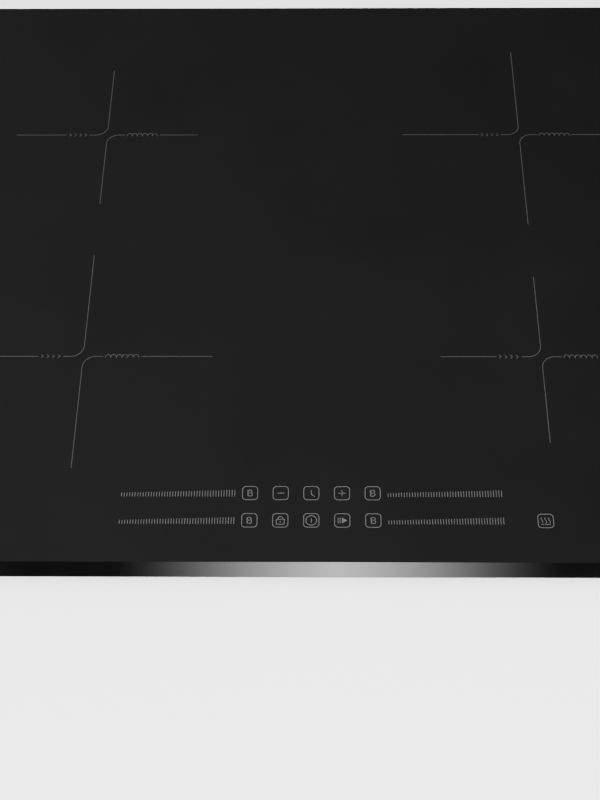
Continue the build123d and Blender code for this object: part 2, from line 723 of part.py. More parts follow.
def scroll(side, shrink):
    """Outline of a fan's scroll about the fan's axis: a circle with a straight duct to the front."""
    Circle(FAN_R - shrink)
    duct = FAN_OUTLET - 2 * shrink
    reach = FAN_Y - FAN_MOUTH_Y + (shrink if shrink else 0)
    with Locations((side * (FAN_R - shrink - duct / 2), -reach / 2)):
        Rectangle(duct, reach)


def make_fan_housing(name, side):
    """Scroll housing of a radial fan: air in through the floor's grille, out over the heat sink."""
    x = side * FAN_X
    with BuildPart() as fan_housing:
        with BuildSketch(at(x, FAN_Y, FAN_BOTTOM)):
            scroll(side, 0)
        extrude(amount=FAN_TOP - FAN_BOTTOM)
        with BuildSketch(at(x, FAN_Y, FAN_BOTTOM + FAN_WALL)):
            scroll(side, FAN_WALL)
        extrude(amount=FAN_TOP - FAN_BOTTOM - 2 * FAN_WALL, mode=Mode.SUBTRACT)
        with BuildSketch(at(x, FAN_Y, FAN_BOTTOM)):
            Circle(FAN_INTAKE)
        extrude(amount=FAN_WALL, mode=Mode.SUBTRACT)
        with BuildSketch(at(x, FAN_Y, FAN_TOP - FAN_WALL)):
            with PolarLocations(MOTOR_R - 4, 3):
                Circle(1.4)
        extrude(amount=FAN_WALL, mode=Mode.SUBTRACT)
    save(fan_housing, f"fan_housing_{name}")


def make_fan_motors():
    """The fixed half of each fan's motor: a bearing tube, its pole plates and a foot."""
    foot_z = FAN_TOP - FAN_WALL
    with BuildPart() as fan_motors:
        for side in SIDES.values():
            plane = at(side * FAN_X, FAN_Y, foot_z)
            with BuildSketch(plane):
                Circle(MOTOR_R)
                Circle(SHAFT_R + 0.05, mode=Mode.SUBTRACT)
            extrude(amount=-1.6)
            with BuildSketch(plane):
                Circle(4.0)
                Circle(SHAFT_R + 0.05, mode=Mode.SUBTRACT)
            extrude(amount=-MOTOR_H - 3.0)
            with BuildSketch(plane.offset(-4.5)):
                Circle(5.0)
                with PolarLocations(7.0, 6):
                    Rectangle(6.0, 3.2)
                with PolarLocations(10.4, 6):
                    Rectangle(1.6, 7.2)
                Circle(SHAFT_R + 0.05, mode=Mode.SUBTRACT)
            extrude(amount=-MOTOR_H + 4.0)
    save(fan_motors, "fan_motors")


def make_impeller(name, side):
    """Radial impeller: a cup over the motor, a disc, a ring of curved blades, and the steel shaft."""
    low = FAN_BOTTOM + FAN_WALL + 1.4
    foot_z = FAN_TOP - FAN_WALL
    disc_z = foot_z - MOTOR_H - 6.4
    with BuildPart() as impeller:
        plane = at(side * FAN_X, FAN_Y, disc_z)
        with BuildSketch(plane):
            Circle(IMPELLER_R)
            Circle(SHAFT_R, mode=Mode.SUBTRACT)
        extrude(amount=1.6)
        with BuildSketch(plane.offset(1.6)):
            Circle(HUB_R)
            Circle(HUB_R - 2.2, mode=Mode.SUBTRACT)
        extrude(amount=MOTOR_H + 2.0)
        # each blade leans back from the direction of turn
        with BuildSketch(plane.offset(1.6)):
            with PolarLocations(IMPELLER_R - 5.0, BLADES):
                Rectangle(9.6, 1.1, rotation=38)
        extrude(amount=HUB_TOP - disc_z - 1.6 - 1.0)
        with BuildSketch(plane):
            with PolarLocations(IMPELLER_R - 5.0, BLADES):
                Rectangle(9.6, 1.1, rotation=38)
        extrude(amount=low - disc_z)
        with BuildSketch(at(side * FAN_X, FAN_Y, HUB_TOP - 2.0)):
            Circle(IMPELLER_R)
            Circle(IMPELLER_R - 3.0, mode=Mode.SUBTRACT)
        extrude(amount=1.6)
        with BuildSketch(plane):
            Circle(SHAFT_R)
        extrude(amount=foot_z - disc_z - 0.4)
    save(impeller, f"fan_impeller_{name}")


# ---- touch controls -----------------------------------------------------------------------------
RIBBON_X, RIBBON_W, RIBBON_T, RIBBON_Y, PLUG_H = -66.0, 16.0, 1.0, (-196.0, -158.0), 6.0
TOUCH_X, TOUCH_Y, TOUCH_Z = (-132.0, 164.0), (-224.0, -190.0), -6.2
CARRIER_T, CARRIER_TOP, CARRIER_GAP = 2.0, 0.9, 0.6
PADS_PER_SLIDER, PAD = 5, (10.0, 6.0)
DISPLAYS_X, DISPLAY = (-87.0, 0.0, 87.0), (25.0, 8.0, 5.0)
TAB_X, TAB_W, TAB_Y = (-100.0, -40.0, 40.0, 100.0), 12.0, (-191.0, -178.0)


def make_touch_board():
    """The touch sensor and display board under the front of the glass."""
    (mid_x, width), (mid_y, depth) = span(TOUCH_X), span(TOUCH_Y)
    with BuildPart() as touch_board:
        with BuildSketch(at(mid_x, mid_y, TOUCH_Z)):
            RectangleRounded(width, depth, 2)
        extrude(amount=BOARD_T)
    save(touch_board, "touch_board")


def make_carrier():
    """Plastic tub round the touch board, with tabs that stand on the coil plates."""
    (mid_x, width), (mid_y, depth) = span(TOUCH_X), span(TOUCH_Y)
    wide, deep = width + 2 * CARRIER_GAP, depth + 2 * CARRIER_GAP
    with BuildPart() as touch_carrier:
        with BuildSketch(at(mid_x, mid_y, TOUCH_Z - CARRIER_T)):
            RectangleRounded(wide + 2.6, deep + 2.6, 3)
        extrude(amount=CARRIER_TOP - TOUCH_Z + CARRIER_T)
        with BuildSketch(at(mid_x, mid_y, TOUCH_Z)):
            RectangleRounded(wide, deep, 2)
        extrude(amount=CARRIER_TOP - TOUCH_Z, mode=Mode.SUBTRACT)
        with BuildSketch(at(RIBBON_X, TOUCH_Y[1] - 6.0, TOUCH_Z - CARRIER_T)):
            Rectangle(RIBBON_W + 4, 8.0)
        extrude(amount=CARRIER_T, mode=Mode.SUBTRACT)
        with BuildSketch(Plane.XY.offset(PLATE_TOP)):
            with Locations(*[(x, sum(TAB_Y) / 2) for x in TAB_X]):
                Rectangle(TAB_W, TAB_Y[1] - TAB_Y[0])
        extrude(amount=1.6)
        with BuildSketch(Plane.XY.offset(PLATE_TOP)):
            with Locations(*[(x, TAB_Y[0] + 1.0) for x in TAB_X]):
                Rectangle(TAB_W, 2.0)
        extrude(amount=TOUCH_Z - CARRIER_T - PLATE_TOP)
    save(touch_carrier, "touch_carrier")


def make_pads():
    """Conductive foam columns from the board up to the glass: one per key, five per slider."""
    keys = [(n * KEY_PITCH, y) for n in (-2, -1, 0, 1, 2) for y in KEY_ROWS]
    keys.append((LONE_KEY_X, KEY_ROWS[0]))
    step = (SLIDER_OUT - SLIDER_IN) / PADS_PER_SLIDER
    sliders = [
        (side * (SLIDER_IN + step * (n + 0.5)), y)
        for side in SIDES.values()
        for n in range(PADS_PER_SLIDER)
        for y in KEY_ROWS
    ]
    with BuildPart() as touch_pads:
        with BuildSketch(Plane.XY.offset(TOUCH_Z + BOARD_T)):
            with Locations(*keys, *sliders):
                RectangleRounded(*PAD, 1.5)
        extrude(amount=SEAL_T - TOUCH_Z - BOARD_T)
    save(touch_pads, "touch_pads")


def make_displays():
    """Three dark display modules between the two rows of keys."""
    with BuildPart() as display_modules:
        with BuildSketch(Plane.XY.offset(TOUCH_Z + BOARD_T)):
            with Locations(*[(x, sum(KEY_ROWS) / 2) for x in DISPLAYS_X]):
                Rectangle(DISPLAY[0], DISPLAY[1])
        extrude(amount=DISPLAY[2])
    save(display_modules, "display_modules")


# ---- mains terminals ----------------------------------------------------------------------------
COVER_Y = (TERM_Y[0] + 2.0, TERM_Y[1] - 5.0)
HINGE_Y, HINGE_Z, HINGE_R, HINGE_PIN = COVER_Y[0] + 5.0, FLOOR + 2.6, 2.2, 1.2
GROMMET_NECK, GROMMET_LIP, GROMMET_T = 8.0, 10.5, 1.8
POLES, POLE_PITCH, BLOCK = 5, 13.0, (70.0, 22.0, 17.0)
EAR_W = 5.0


def make_terminal_housing():
    """Plastic box over the tray's window, open below, which the mains cable's ends are wired in."""
    (mid_x, width), (mid_y, depth) = span(TERM_X), span(TERM_Y)
    height = TERM_TOP - FLOOR
    with BuildPart() as terminal_housing:
        with BuildSketch(at(mid_x, mid_y, FLOOR)):
            Rectangle(width, depth)
        extrude(amount=height)
        with BuildSketch(at(mid_x, mid_y, FLOOR)):
            Rectangle(width - 2 * TERM_WALL, depth - 2 * TERM_WALL)
        extrude(amount=height - TERM_WALL, mode=Mode.SUBTRACT)
        # ears for the cover's hinge pin
        for x in (TERM_X[0] + TERM_WALL + EAR_W / 2, TERM_X[1] - TERM_WALL - EAR_W / 2):
            with BuildSketch(at(x, HINGE_Y - 1.0, FLOOR + 0.2)):
                Rectangle(EAR_W, 7.0)
            extrude(amount=6.0)
            with BuildSketch(at(x, TERM_Y[0] + 2.6, FLOOR + 0.2)):
                Rectangle(EAR_W, 5.2)
            extrude(amount=6.0)
        with BuildSketch(Plane.YZ.offset(mid_x)):
            with Locations((HINGE_Y, HINGE_Z)):
                Circle(HINGE_PIN + 0.05)
        extrude(amount=width / 2 - 0.6, both=True, mode=Mode.SUBTRACT)
        # the wires leave forwards, and the cable comes in through the rear wall
        with BuildSketch(Plane.XZ.offset(-TERM_Y[0])):
            with Locations((mid_x, TERM_TOP - 5.5)):
                SlotOverall(60.0, 5.0)
        extrude(amount=-TERM_WALL, mode=Mode.SUBTRACT)
        with BuildSketch(Plane.XZ.offset(-TERM_Y[1])):
            with Locations((GROMMET_X, GROMMET_Z)):
                Circle(GROMMET_LIP + 0.5)
        extrude(amount=TERM_WALL, mode=Mode.SUBTRACT)
    save(terminal_housing, "terminal_housing")


def make_terminal_block():
    """Five-pole screw terminal block, hanging from the housing's roof, with its brass screws."""
    mid_x = span(TERM_X)[0]
    roof, y = TERM_TOP - TERM_WALL, TERM_Y[0] + 29.0
    with BuildPart() as terminal_block:
        with BuildSketch(at(mid_x, y, roof)):
            Rectangle(BLOCK[0], BLOCK[1])
        extrude(amount=-BLOCK[2])
        with BuildSketch(at(mid_x, y, roof - BLOCK[2])):
            with GridLocations(POLE_PITCH, 11.0, POLES, 2):
                Circle(3.2)
        extrude(amount=6.0, mode=Mode.SUBTRACT)
        with BuildSketch(at(mid_x, y, roof - BLOCK[2] + 6.0)):
            with GridLocations(POLE_PITCH, 11.0, POLES, 2):
                Circle(2.8)
        extrude(amount=-4.6)
        with BuildSketch(Plane.XZ.offset(-y)):
            with Locations((mid_x, roof - BLOCK[2] + 10.0)):
                with GridLocations(POLE_PITCH, 0, POLES, 1):
                    Circle(2.4)
        extrude(amount=BLOCK[1] / 2, both=True, mode=Mode.SUBTRACT)
    save(terminal_block, "terminal_block")


def make_terminal_cover():
    """Hinged cover of the tray's window: a ribbed plate, knuckles, its pin, and a snap tongue."""
    mid_x, width = span(TERM_X)
    plate_w = width - 2 * TERM_WALL - 2 * COVER_GAP
    low, high = HINGE_Y + 3.4, COVER_Y[1] - COVER_GAP
    bottom = CASE_BOTTOM + 0.2
    knuckle = plate_w - 2 * EAR_W - 2 * COVER_GAP
    with BuildPart() as terminal_cover:
        with BuildSketch(at(mid_x, (low + high) / 2, bottom)):
            Rectangle(plate_w, high - low)
        extrude(amount=COVER_T)
        with BuildSketch(Plane.YZ.offset(mid_x)):
            with BuildLine():
                Polyline(
                    (HINGE_Y - HINGE_R, HINGE_Z),
                    (HINGE_Y, bottom + 0.4),
                    (low + 1.0, bottom + COVER_T / 2),
                    (low + 1.0, bottom + COVER_T),
                    (HINGE_Y + HINGE_R, HINGE_Z),
                    close=True,
                )
            make_face()
            with Locations((HINGE_Y, HINGE_Z)):
                Circle(HINGE_R)
        extrude(amount=knuckle / 2, both=True)
        with BuildSketch(Plane.YZ.offset(mid_x)):
            with Locations((HINGE_Y, HINGE_Z)):
                Circle(HINGE_PIN)
        extrude(amount=knuckle / 2 + EAR_W - 0.2, both=True)
        with BuildSketch(at(mid_x, high - 1.2, bottom + COVER_T)):
            Rectangle(14.0, 1.6)
        extrude(amount=5.0)
        # shallow finger groove near the free edge
        with BuildSketch(at(mid_x, high - 7.0, bottom)):
            SlotOverall(24.0, 5.0)
        extrude(amount=0.9, mode=Mode.SUBTRACT)
    save(terminal_cover, "terminal_cover")


def make_grommet():
    """Rubber grommet in the rear wall, which the mains cable passes through."""
    wall_y = CASE_D / 2
    with BuildPart() as cable_grommet:
        with BuildSketch(Plane.XZ.offset(-wall_y)):
            with Locations((GROMMET_X, GROMMET_Z)):
                Circle(GROMMET_NECK)
        extrude(amount=SHEET)
        for offset_y, thick in ((wall_y, -GROMMET_T), (wall_y - SHEET, GROMMET_T)):
            with BuildSketch(Plane.XZ.offset(-offset_y)):
                with Locations((GROMMET_X, GROMMET_Z)):
                    Circle(GROMMET_LIP)
            extrude(amount=thick)
        with BuildSketch(Plane.XZ.offset(-wall_y)):
            with Locations((GROMMET_X, GROMMET_Z)):
                Circle(GROMMET_BORE)
        extrude(amount=4 * GROMMET_T, both=True, mode=Mode.SUBTRACT)
    save(cable_grommet, "cable_grommet")


# ---- clips and wires ----------------------------------------------------------------------------
CLIP_TOP, CLIP_TAB, CLIP_BEND_Z = -2.5, 10.5, -13.8
# down the leaf from its bend: distance out from the wall, and z, of its middle line
CLIP_LEAF = ((0.0, CLIP_BEND_Z), (6.6, -32.5), (-2.4, -43.5))


def make_clip_tabs():
    """The screwed upper ends of the four spring clips, flat on the tray's side walls."""
    with BuildPart() as clip_tabs:
        for side in SIDES.values():
            for y in (-CLIP_Y, CLIP_Y):
                plane = Plane(
                    origin=(side * CASE_W / 2, y, CLIP_TOP - CLIP_TAB / 2),
                    x_dir=(0, side, 0),
                    z_dir=(side, 0, 0),
                )
                with BuildSketch(plane):
                    RectangleRounded(CLIP_W, CLIP_TAB, 1.5)
                    with Locations((0, SCREW_Z - CLIP_TOP + CLIP_TAB / 2)):
                        Circle(SCREW_R + 0.1, mode=Mode.SUBTRACT)
                extrude(amount=CLIP_T)
    save(clip_tabs, "clip_tabs")


def make_clip(name, side, y):
    """Sprung leaf of a clip, below its bend: its belly grips the worktop's cut edge."""
    wall = CASE_W / 2 + CLIP_T / 2
    with BuildPart() as clip_leaf:
        with BuildSketch(Plane(origin=(0, y, 0), x_dir=(side, 0, 0), z_dir=(0, -side, 0))):
            with BuildLine():
                FilletPolyline(*[(wall + out, z) for out, z in CLIP_LEAF], radius=4.0)
                offset(amount=CLIP_T / 2, kind=Kind.ARC, side=Side.BOTH)
            make_face()
        extrude(amount=CLIP_W / 2, both=True)
    save(clip_leaf, f"clip_{name}")


MAINS_R, MAINS_BEND = 1.5, 6.0


def make_wiring():
    """Insulated wires from terminals to filter to power boards, and the touch board's ribbon."""
    exit_z = TERM_TOP - 5.5
    block_face = TERM_Y[0] + 29.0 - BLOCK[1] / 2
    link_y, board_rear = FILTER_Y[0] + 6.0, POWER_Y[1] - 8.0
    upper = TOUCH_Z - PLUG_H
    with BuildPart() as wiring:
        with BuildSketch(Plane(origin=(RIBBON_X, 0, 0), x_dir=(0, 1, 0), z_dir=(1, 0, 0))):
            with BuildLine():
                FilletPolyline(
                    (RIBBON_Y[0], upper),
                    (RIBBON_Y[0], upper - 18.0),
                    (RIBBON_Y[1], upper - 18.0),
                    (RIBBON_Y[1], BOARD_TOP + PLUG_H),
                    radius=4.5,
                )
                offset(amount=RIBBON_T / 2, kind=Kind.ARC, side=Side.BOTH)
            make_face()
        extrude(amount=RIBBON_W / 2, both=True)
        for y, z in ((RIBBON_Y[0], upper), (RIBBON_Y[1], BOARD_TOP)):
            with BuildSketch(at(RIBBON_X, y, z)):
                Rectangle(RIBBON_W + 2, 5.0)
            extrude(amount=PLUG_H)
        for x in (-222.0, -206.0, -190.0):
            sweep_tube(
                (
                    (x, block_face, exit_z),
                    (x, FILTER_Y[1] - 12.0, exit_z),
                    (x, FILTER_Y[1] - 12.0, BOARD_TOP),
                ),
                MAINS_R,
                MAINS_BEND,
            )
        for x in (-148.0, -140.0):
            sweep_tube(
                (
                    (x, link_y, BOARD_TOP),
                    (x, link_y, BOARD_TOP + 16.0),
                    (x + 6.0, board_rear, BOARD_TOP + 16.0),
                    (x + 6.0, board_rear, BOARD_TOP),
                ),
                MAINS_R,
                MAINS_BEND,
            )
        for n, x in enumerate((-115.0, -120.0)):
            height = BOARD_TOP + 20.6 - 3.4 * n
            sweep_tube(
                (
                    (x, link_y + 20.0, BOARD_TOP),
                    (x, link_y + 20.0, height),
                    (x + 14.0, 50.0 - 5.0 * n, height),
                    (-x + 14.0, 50.0 - 5.0 * n, height),
                    (-x + 22.0, board_rear - 8.0, height),
                    (-x + 22.0, board_rear - 8.0, BOARD_TOP),
                ),
                MAINS_R,
                MAINS_BEND,
            )
    save(wiring, "wiring")


frame_w, frame_d = CASE_W - 2 * SHEET - 2 * FRAME_GAP, CASE_D - 2 * SHEET - 2 * FRAME_GAP
make_glass()
make_seal()
make_bond(frame_w, frame_d)
make_frame(frame_w, frame_d)
make_tray()
make_label()
make_screws()
for zone_name, zone_data in ZONES.items():
    make_winding(zone_name, zone_data)
    make_former(zone_name, zone_data)
    make_ferrites(zone_name, zone_data)
    make_mica(zone_name, zone_data)
    make_sensor(zone_name, zone_data)
make_springs()
make_pins()
make_leads()
for side_name, side_sign in SIDES.items():
    make_coil_plate(side_name, side_sign)
    make_board(f"power_board_{side_name}", mirrored(POWER_X, side_sign), POWER_Y)
    make_fan_housing(side_name, side_sign)
    make_impeller(side_name, side_sign)
    make_clip(f"front_{side_name}", side_sign, -CLIP_Y)
    make_clip(f"rear_{side_name}", side_sign, CLIP_Y)
make_board("filter_board", FILTER_X, FILTER_Y)
make_supports()
make_heat_sinks()
make_semiconductors()
make_capacitors()
make_chokes()
make_filter_parts()
make_fan_motors()
make_touch_board()
make_carrier()
make_pads()
make_displays()
make_terminal_housing()
make_terminal_block()
make_terminal_cover()
make_grommet()
make_wiring()
make_clip_tabs()
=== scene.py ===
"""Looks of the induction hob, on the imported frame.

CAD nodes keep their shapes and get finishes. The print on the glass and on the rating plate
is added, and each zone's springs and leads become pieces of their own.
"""

import math

import bmesh
import bpy
from mathutils import Matrix, Vector


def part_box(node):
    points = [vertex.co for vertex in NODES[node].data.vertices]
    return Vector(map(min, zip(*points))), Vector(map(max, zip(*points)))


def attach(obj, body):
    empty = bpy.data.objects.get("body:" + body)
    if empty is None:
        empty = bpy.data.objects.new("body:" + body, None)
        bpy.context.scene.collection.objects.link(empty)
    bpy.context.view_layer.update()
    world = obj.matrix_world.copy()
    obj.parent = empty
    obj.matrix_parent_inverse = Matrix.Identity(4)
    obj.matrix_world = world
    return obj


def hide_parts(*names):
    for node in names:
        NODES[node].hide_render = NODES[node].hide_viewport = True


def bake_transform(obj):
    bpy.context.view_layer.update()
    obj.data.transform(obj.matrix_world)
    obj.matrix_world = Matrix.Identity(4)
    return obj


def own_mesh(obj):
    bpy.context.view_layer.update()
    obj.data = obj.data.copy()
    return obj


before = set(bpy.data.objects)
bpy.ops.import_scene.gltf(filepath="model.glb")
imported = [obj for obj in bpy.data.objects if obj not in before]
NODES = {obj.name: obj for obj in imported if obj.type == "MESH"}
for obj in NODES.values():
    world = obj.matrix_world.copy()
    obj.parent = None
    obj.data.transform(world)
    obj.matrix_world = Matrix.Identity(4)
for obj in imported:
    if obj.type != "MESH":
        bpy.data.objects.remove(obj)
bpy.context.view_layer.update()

MM, MICRON = 0.001, 0.000001
ROOT = "hob"
GLASS_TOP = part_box("glass_plate")[1].z
FLOOR_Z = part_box("base_tray")[0].z
ZONES = ("front_left", "front_right", "rear_left", "rear_right")

# ---- camera -------------------------------------------------------------------------------------
CAMERA_AT = Vector((4.325, -670.652, 832.581)) * MM
CAMERA_YAW, CAMERA_PITCH, CAMERA_ROLL = -0.0227, 0.9901, -0.0178
CAMERA_LENS = 65.43


def make_camera():
    """The camera, turned by its yaw, its pitch down and its roll."""
    data = bpy.data.cameras.new("camera")
    data.lens = CAMERA_LENS
    data.clip_start, data.clip_end = 0.01, 50.0
    camera = bpy.data.objects.new("camera", data)
    bpy.context.scene.collection.objects.link(camera)
    ahead = Vector(
        (
            math.sin(CAMERA_YAW) * math.cos(CAMERA_PITCH),
            math.cos(CAMERA_YAW) * math.cos(CAMERA_PITCH),
            -math.sin(CAMERA_PITCH),
        )
    )
    right = Vector((math.cos(CAMERA_YAW), -math.sin(CAMERA_YAW), 0))
    up = right.cross(ahead)
    turned_right = right * math.cos(CAMERA_ROLL) + up * math.sin(CAMERA_ROLL)
    turned_up = up * math.cos(CAMERA_ROLL) - right * math.sin(CAMERA_ROLL)
    turn = Matrix((turned_right, turned_up, -ahead)).transposed()
    camera.matrix_world = Matrix.Translation(CAMERA_AT) @ turn.to_4x4()
    bpy.context.scene.camera = camera


# ---- node helpers -------------------------------------------------------------------------------
def new_material(name):
    """A material, its node tree and its shader."""
    made = bpy.data.materials.new(name)
    made.use_nodes = True
    tree = made.node_tree
    return made, tree, tree.nodes["Principled BSDF"]


def node(tree, kind, links=(), **settings):
    """A shader node with its settings, its values by socket name, and its inputs linked."""
    made = tree.nodes.new(kind)
    for key, value in settings.items():
        if key in made.inputs.keys():
            made.inputs[key].default_value = value
        else:
            setattr(made, key, value)
    for socket, source in links:
        tree.links.new(source, made.inputs[socket])
    return made


def place(tree, stretch=(1, 1, 1)):
    """The position in the object's frame, stretched, as a texture's vector."""
    where = node(tree, "ShaderNodeTexCoord").outputs["Object"]
    return node(tree, "ShaderNodeMapping", [("Vector", where)], Scale=stretch).outputs[0]


def texture(tree, kind, scale, stretch=(1, 1, 1), **settings):
    """A texture node, scaled and fed with the position in the object's frame."""
    made = node(tree, f"ShaderNodeTex{kind}", [("Vector", place(tree, stretch))], **settings)
    made.inputs["Scale"].default_value = scale
    return made


def noise(tree, scale, detail=3.0, stretch=(1, 1, 1), distortion=0.0):
    """A noise texture's value; scale is in patches per metre."""
    made = texture(tree, "Noise", scale, stretch, Detail=detail, Distortion=distortion)
    return made.outputs["Fac"]


def one_channel(tree, colour, channel):
    """One channel of a colour, as a random value for each cell of a texture."""
    return node(tree, "ShaderNodeSeparateColor", [("Color", colour)]).outputs[channel]


def spread(tree, factor, low, high, from_range=(0.3, 0.7)):
    """A factor's usual range, stretched to run from low to high."""
    made = node(tree, "ShaderNodeMapRange", [("Value", factor)])
    made.inputs["From Min"].default_value, made.inputs["From Max"].default_value = from_range
    made.inputs["To Min"].default_value, made.inputs["To Max"].default_value = low, high
    return made.outputs["Result"]


def blend_colours(tree, factor, first, second):
    """A blend from one colour to another by a factor; each colour is a constant or a socket."""
    made = node(tree, "ShaderNodeMix", data_type="RGBA")
    tree.links.new(factor, made.inputs["Factor"])
    sockets = [s for s in made.inputs if s.type == "RGBA"]
    for socket, colour in zip(sockets, (first, second)):
        if isinstance(colour, tuple):
            socket.default_value = (*colour, 1)
        else:
            tree.links.new(colour, socket)
    return next(s for s in made.outputs if s.type == "RGBA")


def maths(tree, operation, *values):
    """The result of a maths node, each of whose values is a number or a socket."""
    made = node(tree, "ShaderNodeMath", operation=operation)
    for socket, value in zip(made.inputs, values):
        if isinstance(value, float):
            socket.default_value = value
        else:
            tree.links.new(value, socket)
    return made.outputs[0]


def add_bump(tree, shader, height, depth_um):
    """Relief in the finish, that many micrometres deep where the height goes from 0 to 1."""
    made = node(tree, "ShaderNodeBump", [("Height", height)])
    made.inputs["Strength"].default_value = 1.0
    made.inputs["Distance"].default_value = depth_um * MICRON
    tree.links.new(made.outputs[0], shader.inputs["Normal"])


SMEARS_PER_PATCH, ROUGH_VARY = 2.7, 0.06


def tinted(colour, factor):
    """A colour made darker or lighter by a factor."""
    return tuple(min(1.0, c * factor) for c in colour)


def material(
    name, colour, rough, metal, vary, patch, grain, grain_um, stretch=(1, 1, 1), specular=0.5
):
    """A finish whose colour drifts in patches, with uneven roughness and a fine grain in relief."""
    made, tree, shader = new_material(name)
    shade = spread(tree, noise(tree, patch, 4.0), 0.0, 1.0)
    mixed = blend_colours(tree, shade, tinted(colour, 1 - vary), tinted(colour, 1 + vary))
    tree.links.new(mixed, shader.inputs["Base Color"])
    smears = noise(tree, patch * SMEARS_PER_PATCH, 5.0, stretch)
    smoothest, roughest = max(0.02, rough - ROUGH_VARY), min(1.0, rough + ROUGH_VARY)
    tree.links.new(spread(tree, smears, smoothest, roughest), shader.inputs["Roughness"])
    shader.inputs["Metallic"].default_value = metal
    shader.inputs["Specular IOR Level"].default_value = specular
    if grain_um:
        add_bump(tree, shader, noise(tree, grain, 3.0, stretch), grain_um)
    return made


# ---- materials ----------------------------------------------------------------------------------
GLASS_IOR = 1.52
UNIT = (0, 1)


def make_glass():
    """Polished black glass-ceramic: a near-black body, faint wipe marks in its gloss."""
    made, tree, shader = new_material("ceramic_glass")
    cloud = spread(tree, noise(tree, 9.0, 3.0), 0.0, 1.0)
    mixed = blend_colours(tree, cloud, (0.0010, 0.0010, 0.0010), (0.0016, 0.0016, 0.0016))
    tree.links.new(mixed, shader.inputs["Base Color"])
    wipe = spread(tree, noise(tree, 26.0, 5.0, (1, 2.4, 1), 0.6), 0.035, 0.06)
    tree.links.new(wipe, shader.inputs["Roughness"])
    shader.inputs["IOR"].default_value = GLASS_IOR
    return made


def make_print(name, level):
    """Grey ceramic ink fired into the glass: matt speckle under a gloss."""
    made, tree, shader = new_material(name)
    ink = (level, level, level)
    speck = spread(tree, noise(tree, 2600.0, 2.0), 0.0, 1.0)
    mixed = blend_colours(tree, speck, tinted(ink, 0.9), tinted(ink, 1.1))
    tree.links.new(mixed, shader.inputs["Base Color"])
    tree.links.new(spread(tree, speck, 0.22, 0.34, UNIT), shader.inputs["Roughness"])
    shader.inputs["IOR"].default_value = GLASS_IOR
    return made


def make_galvanised():
    """Hot-dip galvanised sheet: crystal spangle, rolling lines and light handling marks."""
    made, tree, shader = new_material("galvanised")
    cells = texture(tree, "Voronoi", 150.0, Randomness=1.0)
    tone = one_channel(tree, cells.outputs["Color"], 0)
    spangle = blend_colours(tree, tone, (0.40, 0.415, 0.43), (0.56, 0.57, 0.58))
    cloud = spread(tree, noise(tree, 7.0, 4.0), 0.0, 0.35)
    aged = blend_colours(tree, cloud, spangle, (0.36, 0.365, 0.37))
    tree.links.new(aged, shader.inputs["Base Color"])
    tree.links.new(spread(tree, tone, 0.32, 0.5, UNIT), shader.inputs["Roughness"])
    shader.inputs["Metallic"].default_value = 1.0
    add_bump(tree, shader, noise(tree, 700.0, 2.0, (0.06, 1, 1)), 12)
    return made


def make_board():
    """Solder-masked circuit board: bare areas, copper tracks under the mask, tinned pads."""
    made, tree, shader = new_material("board_green")
    layout = {
        "Mortar Size": 0.05,
        "Mortar Smooth": 0.0,
        "Brick Width": 1.7,
        "Row Height": 0.42,
        "offset": 0.37,
        "squash": 0.6,
    }
    tracks = texture(tree, "Brick", 95.0, **layout).outputs["Fac"]
    copper = blend_colours(tree, tracks, (0.016, 0.10, 0.045), (0.008, 0.045, 0.022))
    dots = texture(tree, "Voronoi", 330.0, Randomness=0.75)
    near = maths(tree, "LESS_THAN", dots.outputs["Distance"], 0.15)
    areas = spread(tree, noise(tree, 38.0, 2.0), 0.0, 1.0, (0.5, 0.53))
    pads = maths(tree, "MULTIPLY", near, areas)
    mixed = blend_colours(tree, pads, copper, (0.55, 0.56, 0.55))
    tree.links.new(mixed, shader.inputs["Base Color"])
    tree.links.new(pads, shader.inputs["Metallic"])
    tree.links.new(spread(tree, noise(tree, 300.0), 0.25, 0.4), shader.inputs["Roughness"])
    add_bump(tree, shader, tracks, -30)
    return made


def make_litz():
    """Enamelled copper litz: many fine strands, laid at a slant to the bundle."""
    made, tree, shader = new_material("litz")
    lay = {"bands_direction": "DIAGONAL", "Distortion": 2.5, "Detail": 2.0}
    shade = texture(tree, "Wave", 950.0, **lay).outputs["Fac"]
    mixed = blend_colours(tree, shade, (0.30, 0.10, 0.035), (0.66, 0.28, 0.11))
    tree.links.new(mixed, shader.inputs["Base Color"])
    tree.links.new(spread(tree, shade, 0.22, 0.42, UNIT), shader.inputs["Roughness"])
    shader.inputs["Metallic"].default_value = 0.85
    add_bump(tree, shader, shade, 90)
    return made


def make_woven():
    """Braided glass sleeving: two crossed sets of slanted yarns."""
    made, tree, shader = new_material("woven_sleeve")
    lay = {"bands_direction": "DIAGONAL", "Distortion": 0.4}
    warp = texture(tree, "Wave", 1300.0, (1, 1, 0.8), **lay)
    weft = texture(tree, "Wave", 1300.0, (-1, 1, -0.8), **lay)
    over = maths(tree, "MAXIMUM", warp.outputs["Fac"], weft.outputs["Fac"])
    mixed = blend_colours(tree, over, (0.42, 0.41, 0.37), (0.78, 0.77, 0.72))
    tree.links.new(mixed, shader.inputs["Base Color"])
    shader.inputs["Roughness"].default_value = 0.7
    add_bump(tree, shader, over, 120)
    return made


def make_mica():
    """Pressed mica sheet: overlapping pearly flakes."""
    made, tree, shader = new_material("mica")
    flakes = texture(tree, "Voronoi", 420.0, (1, 1, 0.2)).outputs["Color"]
    shade, gloss = one_channel(tree, flakes, 1), one_channel(tree, flakes, 0)
    mixed = blend_colours(tree, shade, (0.42, 0.37, 0.29), (0.66, 0.62, 0.53))
    tree.links.new(mixed, shader.inputs["Base Color"])
    tree.links.new(spread(tree, gloss, 0.25, 0.6, UNIT), shader.inputs["Roughness"])
    add_bump(tree, shader, shade, 40)
    return made


